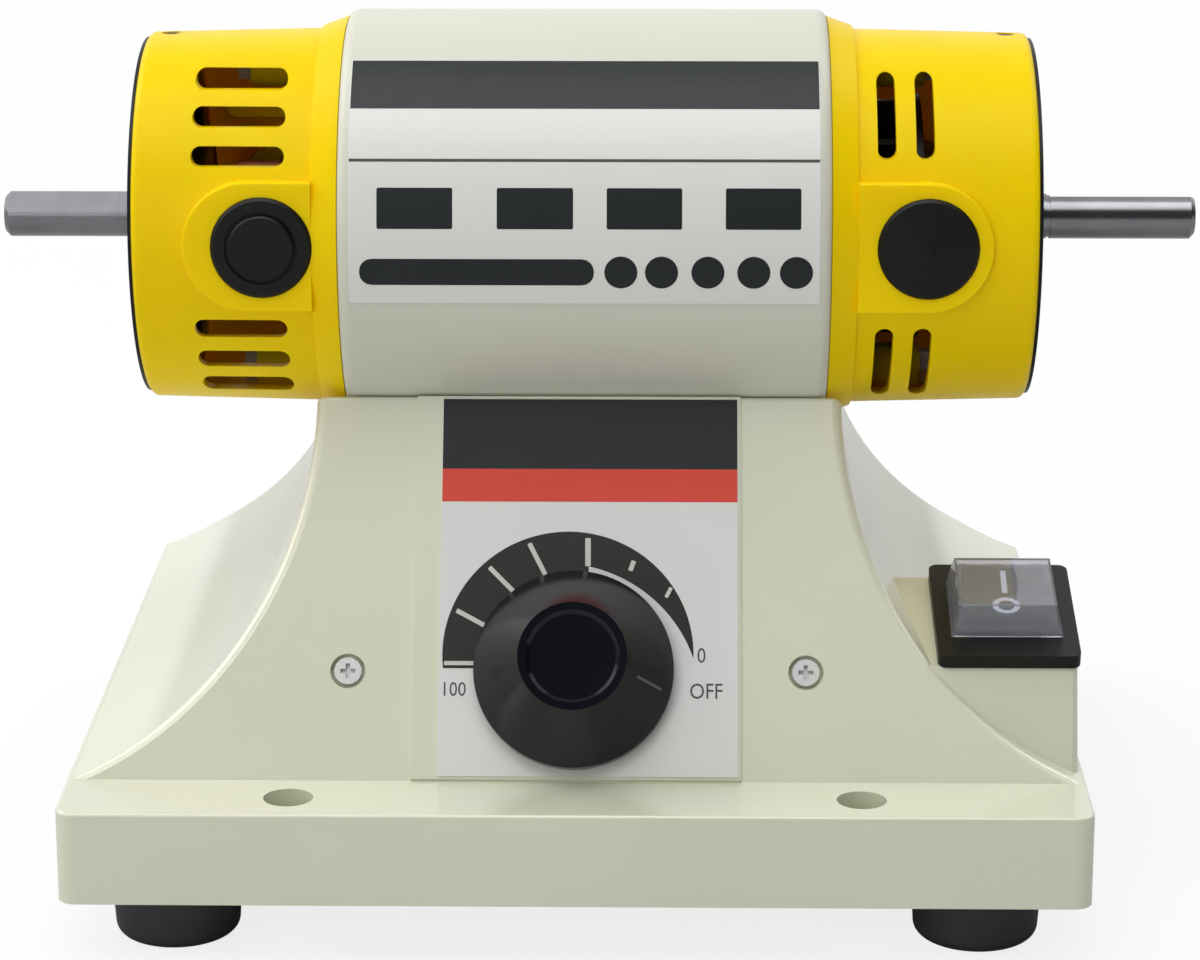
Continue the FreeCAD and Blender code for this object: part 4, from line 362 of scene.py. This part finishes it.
inks = {
    "dark": ink("dark_ink", colour(24, 29, 31), colour(30, 35, 37)),
    "red": ink("red_ink", colour(220, 74, 58), colour(214, 68, 54)),
    "scale": ink("scale_ink", colour(30, 34, 30), colour(38, 42, 36)),
    "pale": ink("pale_ink", colour(206, 206, 198), colour(198, 198, 190)),
    "letter": ink("letter_ink", colour(70, 70, 72), colour(84, 84, 86)),
    "white": ink("white_ink", colour(226, 228, 234), colour(218, 220, 228)),
    "faint": ink("faint_ink", colour(92, 98, 98), colour(80, 86, 86)),
}
print("inks:", sorted(inks))

# %% Drawing helpers
INK_THICK = 0.06 * MM
INK_SINK = 0.02 * MM


def start_edit(mode="FACE"):
    bpy.ops.object.mode_set(mode="EDIT")
    bpy.ops.mesh.select_mode(type=mode)
    bpy.ops.mesh.select_all(action="SELECT")


def end_edit():
    bpy.ops.object.mode_set(mode="OBJECT")
    return bpy.context.object


def settle():
    """Moves the selected piece's place, turn and size into its mesh."""
    bpy.ops.object.transform_apply(location=True, rotation=True, scale=True)


def thicken(piece, thick=INK_THICK):
    """Gives a flat drawing a thickness, upwards, with all faces outwards."""
    start_edit()
    bpy.ops.mesh.extrude_region_move(TRANSFORM_OT_translate={"value": (0, 0, thick)})
    bpy.ops.mesh.select_all(action="SELECT")
    bpy.ops.mesh.normals_make_consistent(inside=False)
    return end_edit()


def bar(name, centre, size, turn=0.0, corner=0.0):
    """A flat rectangle, drawn in millimetres, with its corners rounded."""
    bpy.ops.object.select_all(action="DESELECT")
    bpy.ops.mesh.primitive_plane_add(size=MM)
    start_edit("VERT")
    bpy.ops.transform.resize(value=(size[0], size[1], 1))
    if corner:
        bpy.ops.mesh.bevel(offset=corner * MM, segments=4, affect="VERTICES")
    piece = end_edit()
    piece.name = name
    piece.matrix_world = (Matrix.Translation((centre[0] * MM, centre[1] * MM, 0))
                          @ Matrix.Rotation(turn, 4, "Z"))
    settle()
    return piece


def round_flat(name, centre, radius, sides):
    """A flat disc, drawn in millimetres."""
    bpy.ops.object.select_all(action="DESELECT")
    bpy.ops.mesh.primitive_circle_add(vertices=sides, radius=radius * MM, fill_type="NGON",
                                      location=(centre[0] * MM, centre[1] * MM, 0))
    settle()
    piece = bpy.context.object
    piece.name = name
    return piece


def place(piece, matrix, finish, body, slot):
    """Lays a finished drawing on the machine, and says what it moves with."""
    piece.matrix_world = matrix
    bpy.ops.object.select_all(action="DESELECT")
    piece.select_set(True)
    bpy.context.view_layer.objects.active = piece
    settle()
    piece.data.materials.clear()
    piece.data.materials.append(finish.owner)
    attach(piece, body)


PANEL_FOOT = (-0.0038, -0.07565, 0.0339)
PANEL_SLOPE = math.radians(59.807)
LABEL_FACE = 0.8 * MM
on_panel = (Matrix.Translation(PANEL_FOOT) @ Matrix.Rotation(PANEL_SLOPE, 4, "X")
            @ Matrix.Translation((0, 0, LABEL_FACE - INK_SINK)))
print("label face at", round(LABEL_FACE / MM, 2), "mm from the panel's foot")

# %% [markdown]
# ### Two bands across the top
#
# The label has a dark band at its top and a red one under it. Both run over its full width, but
# for a hair at each end, and so the label's own ends are measured first.

# %% Dark band and red band
BAND_MARGIN, BAND_GAP = 0.1, 0.02
label_left, label_right = (
    (corner[0] - PANEL_FOOT[0]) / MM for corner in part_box("control_label"))
label_middle = (label_left + label_right) / 2
band_wide = label_right - label_left - BAND_MARGIN * 2
for name, foot, top, finish in (("panel_dark_band", 68.1, 83.7, inks["dark"]),
                                ("panel_red_band", 60.8, 68.1, inks["red"])):
    band = bar(name, (label_middle, (foot + top) / 2), (band_wide, top - foot - BAND_GAP))
    place(thicken(band), on_panel, finish, "machine", "panel_label")
    print(name, round(top - foot, 1), "mm high")

# %% [markdown]
# ### The speed scale
#
# The scale is a dark crescent that is thick at full speed and runs out to a point at zero.
# It is the difference of two discs, and Blender's Boolean does exactly that. The second disc is
# first cut in two, because the crescent's thick end runs on under the knob.

# %% Crescent
def thick_disc(name, centre, radius, low, high):
    """A disc between two heights, in millimetres."""
    bpy.ops.object.select_all(action="DESELECT")
    bpy.ops.mesh.primitive_cylinder_add(
        vertices=128, radius=radius * MM, depth=(high - low) * MM,
        location=(centre[0] * MM, centre[1] * MM, (low + high) / 2 * MM))
    settle()
    piece = bpy.context.object
    piece.name = name
    return piece


def slice_off(point, direction):
    """Cuts away what lies beyond a plane through point, and closes the cut."""
    start_edit()
    bpy.ops.mesh.bisect(plane_co=[value * MM for value in point], plane_no=direction,
                        use_fill=True, clear_outer=True)
    end_edit()


def subtract(piece, tool):
    """Cuts the tool out of a piece, and throws the tool away."""
    bpy.context.view_layer.objects.active = piece
    change = piece.modifiers.new("cut", "BOOLEAN")
    change.operation, change.solver, change.object = "DIFFERENCE", "EXACT", tool
    bpy.ops.object.modifier_apply(modifier=change.name)
    bpy.data.objects.remove(tool)


OUTER_CENTRE, OUTER_RADIUS = (-1.9, 27.4), 26.8
INNER_CENTRE, INNER_RADIUS = (-4.24, 16.51), 30.78
THIN_PART_FROM, SCALE_FOOT = 2.4, 24.2

inner = thick_disc("inner_disc", INNER_CENTRE, INNER_RADIUS, -1, 1)
slice_off((THIN_PART_FROM, 0, 0), (-1, 0, 0))
crescent = thick_disc("speed_scale", OUTER_CENTRE, OUTER_RADIUS, 0, INK_THICK / MM)
slice_off((0, SCALE_FOOT, 0), (0, -1, 0))
subtract(crescent, inner)
place(crescent, on_panel, inks["scale"], "machine", "panel_label")
print("crescent faces:", len(crescent.data.polygons))

# %% [markdown]
# ### Ticks and figures
#
# Five long ticks and two short ones cross the crescent. A tick is a thin bar between two points,
# so its length and its turn come from the points. The figures are Blender's own text, turned into
# a mesh while it still lies flat. They stand for zero, switched off, and full speed.

# %% Ticks
TICK_LIFT = Matrix.Translation((0, 0, 0.03 * MM))
TICKS = [
    ((-28.3, 25.3), (-21.0, 25.3), 0.9), ((-25.8, 36.8), (-18.8, 33.0), 1.0),
    ((-18.9, 46.3), (-12.9, 40.2), 1.0), ((-10.4, 51.6), (-6.9, 44.7), 1.0),
    ((2.2, 52.8), (2.25, 46.6), 1.2), ((12.1, 47.8), (11.3, 45.6), 1.0),
    ((20.1, 42.0), (19.0, 39.8), 0.8),
]
ticks = []
for start, end, wide in TICKS:
    run = Vector(end) - Vector(start)
    middle = (Vector(start) + Vector(end)) / 2
    tick = bar("tick", middle, (run.length, wide), math.atan2(run.y, run.x), corner=0.2)
    ticks.append(thicken(tick))
bpy.ops.object.select_all(action="DESELECT")
for tick in ticks:
    tick.select_set(True)
bpy.context.view_layer.objects.active = ticks[0]
bpy.ops.object.join()
ticks[0].name = "speed_ticks"
place(ticks[0], on_panel @ TICK_LIFT, inks["pale"], "machine", "panel_label")
print("ticks:", len(TICKS))

# %% Figures
CAPITAL_SHARE, FIGURE_NARROWING = 0.69, 0.85


def figure(name, words, left, foot, high):
    """Narrow text whose capitals are high millimetres tall, drawn flat and made a mesh."""
    bpy.ops.object.select_all(action="DESELECT")
    bpy.ops.object.text_add()
    text = bpy.context.object
    text.data.body = words
    text.data.size = high * MM / CAPITAL_SHARE
    text.data.extrude = INK_THICK / 2
    text.data.resolution_u = 3
    bpy.ops.object.convert(target="MESH")
    piece = bpy.context.object
    piece.name = name
    piece.matrix_world = (Matrix.Translation((left * MM, foot * MM, INK_THICK / 2))
                          @ Matrix.Diagonal((FIGURE_NARROWING, 1, 1, 1)))
    settle()
    return piece


for name, words, left, foot, high in (("dial_zero", "0", 25.6, 25.6, 3.2),
                                      ("dial_off", "OFF", 24.0, 17.8, 3.3),
                                      ("dial_full", "100", -29.0, 18.2, 3.0)):
    mark = figure(name, words, left, foot, high)
    place(mark, on_panel, inks["letter"], "machine", "panel_label")
    print(name, words, len(mark.data.polygons), "faces")

# %% [markdown]
# ## Printing on the motor's label
#
# This label is bent round the motor. Marks could be cut from a tube, but a mark that is drawn flat
# in front of the motor and then pressed onto the label keeps the outline it was drawn with.
# Blender's Shrinkwrap does that when it projects along one axis. A flat face can't bend, so every
# mark is first sliced into narrow rows, and each row then lies on the curve.

# %% Pressing helper
LABEL_RADIUS = 45.7
ROW = 1.2
DRAWN_AHEAD = 58.6 * MM
THICK_OUTWARDS = 0.4
motor = pivots["spindle_spin"]
in_front = (Matrix.Translation(motor - Vector((0, DRAWN_AHEAD, 0)))
            @ Matrix.Rotation(math.radians(90), 4, "X"))


def press(piece, finish):
    """Slices a flat drawing into rows, presses it onto the motor's label and thickens it."""
    start_edit()
    heights = [corner.co.y / MM for corner in piece.data.vertices]
    row = min(heights) + ROW
    while row < max(heights) - ROW / 2:
        bpy.ops.mesh.select_all(action="SELECT")
        bpy.ops.mesh.bisect(plane_co=(0, row * MM, 0), plane_no=(0, 1, 0))
        row += ROW
    end_edit()
    piece.matrix_world = in_front
    settle()
    wrap = piece.modifiers.new("press", "SHRINKWRAP")
    wrap.wrap_method, wrap.use_project_y, wrap.use_project_z = "PROJECT", True, False
    wrap.use_negative_direction, wrap.use_positive_direction = False, True
    wrap.target = nodes["motor_label"]
    bpy.ops.object.modifier_apply(modifier=wrap.name)
    shell = piece.modifiers.new("thickness", "SOLIDIFY")
    shell.thickness, shell.offset = INK_THICK, THICK_OUTWARDS
    bpy.ops.object.modifier_apply(modifier=shell.name)
    place(piece, Matrix.Identity(4), finish, "machine", "sleeve_label")


print("label radius", LABEL_RADIUS, "mm")

# %% [markdown]
# ### The marks
#
# A dark band runs along the top. Under it come a thin line, a row of four dark boxes, and at the
# foot a long bar and five plain discs. All are plain shapes with nothing written in them.

# %% Bands, boxes and discs
def at_angle(degrees):
    """The height on the label, from the motor's axis, at an angle above the horizontal."""
    return LABEL_RADIUS * math.sin(math.radians(degrees))


def flat_bar(name, left, right, low_angle, high_angle, corner=0.0):
    low, high = at_angle(low_angle), at_angle(high_angle)
    return bar(name, ((left + right) / 2, (low + high) / 2), (right - left, high - low),
               corner=corner)


LABEL_MARGIN = 0.15
label_ends = [(corner[0] - motor.x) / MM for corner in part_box("motor_label")]
band_ends = (label_ends[0] + LABEL_MARGIN, label_ends[1] - LABEL_MARGIN)
press(flat_bar("sleeve_dark_band", *band_ends, 41.5, 58.0), inks["dark"])
press(flat_bar("sleeve_thin_line", *band_ends, 26.2, 27.0), inks["letter"])
for number, (left, right) in enumerate(((-43.8, -27.8), (-18.4, -2.3), (4.8, 20.7),
                                        (29.9, 45.8)), start=1):
    press(flat_bar(f"rating_box_{number}", left, right, 8.3, 19.2, corner=0.4), inks["dark"])
press(flat_bar("long_bar", -47.6, 2.1, -6.9, 0.3, corner=2.6), inks["dark"])
print("marks pressed on the label")

# %% Discs
DISC_ANGLE, DISC_RADIUS = -3.3, 3.5
DISC_MIDDLES = (7.8, 16.4, 26.2, 35.9, 44.9)
for number, middle in enumerate(DISC_MIDDLES, start=1):
    centre = (middle, at_angle(DISC_ANGLE))
    press(round_flat(f"plain_disc_{number}", centre, DISC_RADIUS, 40), inks["dark"])
print("discs:", len(DISC_MIDDLES))

# %% [markdown]
# ## Marks on the rocker
#
# A white ring on the half that switches off and a white line on the half that switches on are the
# common signs of such a switch. They are printed on the rocker, so they tilt with it.

# %% Ring and line
ROCKER_REST, ROCKER_FACE = math.radians(19.5), math.radians(6.0)
HALF_MIDDLE, HALF_HEIGHT = 4.25, 8.946


def on_rocker(way):
    """Where a drawing lies on one half of the rocker: way is -1 in front and 1 behind."""
    return (Matrix.Translation(pivots["rocker_tilt"]) @ Matrix.Rotation(ROCKER_REST, 4, "X")
            @ Matrix.Translation((0, way * HALF_MIDDLE * MM, HALF_HEIGHT * MM - INK_SINK))
            @ Matrix.Rotation(way * ROCKER_FACE, 4, "X"))


RING_RADIUS, RING_WIDE, RING_UP = 2.9, 1.2, 0.2
round_flat("rocker_off_ring", (0, RING_UP), RING_RADIUS, 48)
start_edit()
bpy.ops.mesh.inset(thickness=RING_WIDE * MM)
bpy.ops.mesh.delete(type="FACE")
ring = thicken(end_edit())
place(ring, on_rocker(-1), inks["white"], "rocker", "black_plastic")
line = thicken(bar("rocker_on_line", (0, -0.2), (1.2, 7.0)))
place(line, on_rocker(1), inks["white"], "rocker", "black_plastic")
print("rocker marks:", len(ring.data.polygons), "and", len(line.data.polygons), "faces")

# %% [markdown]
# ## The knob's pointer
#
# A faint line runs down the knob's skirt and points at OFF. The skirt is a cone, and a narrow bar
# that is turned to the cone's slope lies flat enough on it.

# %% Pointer line
SKIRT_TOP, SKIRT_FOOT = (11.5, 18.0), (21.3, 4.3)
POINTER_TURN = math.radians(-15.0)
skirt_run = (SKIRT_FOOT[0] - SKIRT_TOP[0], SKIRT_TOP[1] - SKIRT_FOOT[1])
skirt_middle = [(SKIRT_TOP[i] + SKIRT_FOOT[i]) / 2 * MM for i in range(2)]
on_skirt = (Matrix.Translation(pivots["speed_knob_turn"]) @ Matrix.Rotation(PANEL_SLOPE, 4, "X")
            @ Matrix.Rotation(POINTER_TURN, 4, "Z")
            @ Matrix.Translation((skirt_middle[0], 0, skirt_middle[1]))
            @ Matrix.Rotation(math.atan2(skirt_run[1], skirt_run[0]), 4, "Y")
            @ Matrix.Translation((0, 0, -INK_SINK)))
pointer = thicken(bar("knob_pointer", (0.5, 0), (9.0, 0.6)))
place(pointer, on_skirt, inks["faint"], "knob", "knob_plastic")
print("pointer turned", round(math.degrees(POINTER_TURN)), "degrees from the panel's right")

# %% [markdown]
# ## Two thin webs
#
# Two openings show what isn't meant to be seen. Through the left housing's upper rear vent one can
# look right through the machine, and through a slit low in the back of the switch box one sees the
# switch's case. A thin web of the same material closes each. The second stands just proud of the
# wall, because the case's edge reaches that far.

# %% Webs in the walls
WEB_THICK = 1.2 * MM


def close(name, at, slope, size, corner, slot):
    """Sets a web into an opening in a wall that faces backwards and leans by the slope."""
    web = thicken(bar(name, (0, 0), size, corner=corner), WEB_THICK)
    in_wall = (Matrix.Translation(at) @ Matrix.Rotation(math.radians(slope - 90), 4, "X")
               @ Matrix.Translation((0, 0, -WEB_THICK / 2)))
    place(web, in_wall, finishes[slot], "machine", slot)
    print(name, "is", size[0], "by", size[1], "mm")


close("blind_vent_web", at=(-0.0763, 0.0342, 0.15758), slope=26.2, size=(20.0, 4.6), corner=2.1,
      slot="yellow_plastic")
close("switch_box_web", at=(0.0922, -0.02742, 0.0426), slope=0.0, size=(15.4, 3.2), corner=0.6,
      slot="casting_paint")

# %% [markdown]
# ## Floor, background and light
#
# The machine stands on a plain pale floor that turns white well away from it, so no horizon shows.
# Four softboxes light it: a large one overhead, one on each side from a little behind, and a weak
# one in front. The world adds a weak light, more of it from the left, so the shape keeps its
# shading. The camera sees a plain white world, and so does clear plastic. In a mirror the same
# world is dark in front on the right, which gives steel and lacquer something to show.

# %% Floor
FLOOR_SIZE = 30
FLOOR_GREY, FLOOR_SEEN, WHITE = (0.6, 0.6, 0.6, 1.0), (0.95, 0.95, 0.95, 1.0), (1.0, 1.0, 1.0, 1.0)
FLOOR_GLOW, SHADOWS_END, ALL_WHITE = 0.82, 0.35, 1.6

bpy.ops.object.select_all(action="DESELECT")
bpy.ops.mesh.primitive_plane_add(size=FLOOR_SIZE)
floor = bpy.context.object
floor.name = "floor"
sheet = new_finish("floor_paper")
to_camera = sheet.node("ShaderNodeLightPath", output="Is Camera Ray")
sheet.shade(Base_Color=sheet.mix(to_camera, FLOOR_GREY, FLOOR_SEEN), Roughness=0.85,
            Specular_IOR_Level=0.1)
sheet.bump(sheet.noise(300.0), 0.00005)
glow = sheet.node("ShaderNodeEmission", {}, {"Color": WHITE, "Strength": 1.0})
away = sheet.node("ShaderNodeVectorMath", {"operation": "LENGTH"}, {0: sheet.place}, output="Value")
glowing = FLOOR_GLOW + sheet.between(away, SHADOWS_END, ALL_WHITE) * (1 - FLOOR_GLOW)
paper = sheet.node("ShaderNodeMixShader", {}, {0: to_camera * glowing, 2: glow})
sheet.tree.links.new(sheet.shader.outputs[0], paper.socket.node.inputs[1])
sheet.tree.links.new(paper.socket, sheet.tree.nodes["Material Output"].inputs["Surface"])
floor.data.materials.append(sheet.owner)
print("floor is", floor.dimensions.x, "m wide")

# %% World
LOW_LIGHT, LEFT_LIGHT, LEFT_REACH = 0.16, 0.28, 0.7
DARK_SIDE, DARK_FROM, DARK_FULL = 0.93, 0.05, 0.5
RIGHT_SHARE, TOP_FROM, TOP_FULL = 0.8, 0.7, 0.95

world = bpy.data.worlds.new("studio")
bpy.context.scene.world = world
studio = Finish(world, "Background", "Generated")
rightward, backward, upward = (
    studio.node("ShaderNodeSeparateXYZ", {}, {"Vector": studio.place}, output=axis)
    for axis in ("X", "Y", "Z"))
is_camera, is_clear, is_gloss = (studio.node("ShaderNodeLightPath", output=ray) for ray in (
    "Is Camera Ray", "Is Transmission Ray", "Is Glossy Ray"))
seen = studio.node("ShaderNodeMath", {"operation": "MAXIMUM"}, {0: is_camera, 1: is_clear})
dark = studio.between(rightward * RIGHT_SHARE - backward, DARK_FROM, DARK_FULL) * (
    1 - studio.between(upward, TOP_FROM, TOP_FULL))
mirrored = 1 - dark * DARK_SIDE
shining = LOW_LIGHT + studio.between(0 - rightward, -LEFT_REACH, LEFT_REACH) * LEFT_LIGHT
studio.shade(Color=WHITE, Strength=seen + (1 - seen) * (
    is_gloss * mirrored + (1 - is_gloss) * shining))
print("world lights with", LOW_LIGHT, "from the right and", LOW_LIGHT + LEFT_LIGHT, "from the left")


# %% Lamps
AIM = Vector((0.0, 0.0, 0.08))


def softbox(name, at, size, power):
    """A square softbox that stands at a point and shines at the middle of the machine."""
    bpy.ops.object.light_add(type="AREA", location=at)
    lamp = bpy.context.object
    lamp.name = name
    lamp.data.size, lamp.data.energy = size, power
    lamp.rotation_euler = (AIM - Vector(at)).to_track_quat("-Z", "Y").to_euler()


softbox("overhead_softbox", at=(-0.3, -1.0, 2.9), size=2.4, power=42.0)
softbox("left_softbox", at=(-1.8, 0.5, 1.7), size=1.6, power=24.0)
softbox("right_softbox", at=(1.5, 0.8, 1.8), size=1.2, power=14.0)
softbox("front_softbox", at=(-0.9, -2.3, 0.8), size=1.4, power=9.0)
bpy.context.scene.view_settings.view_transform = "Standard"
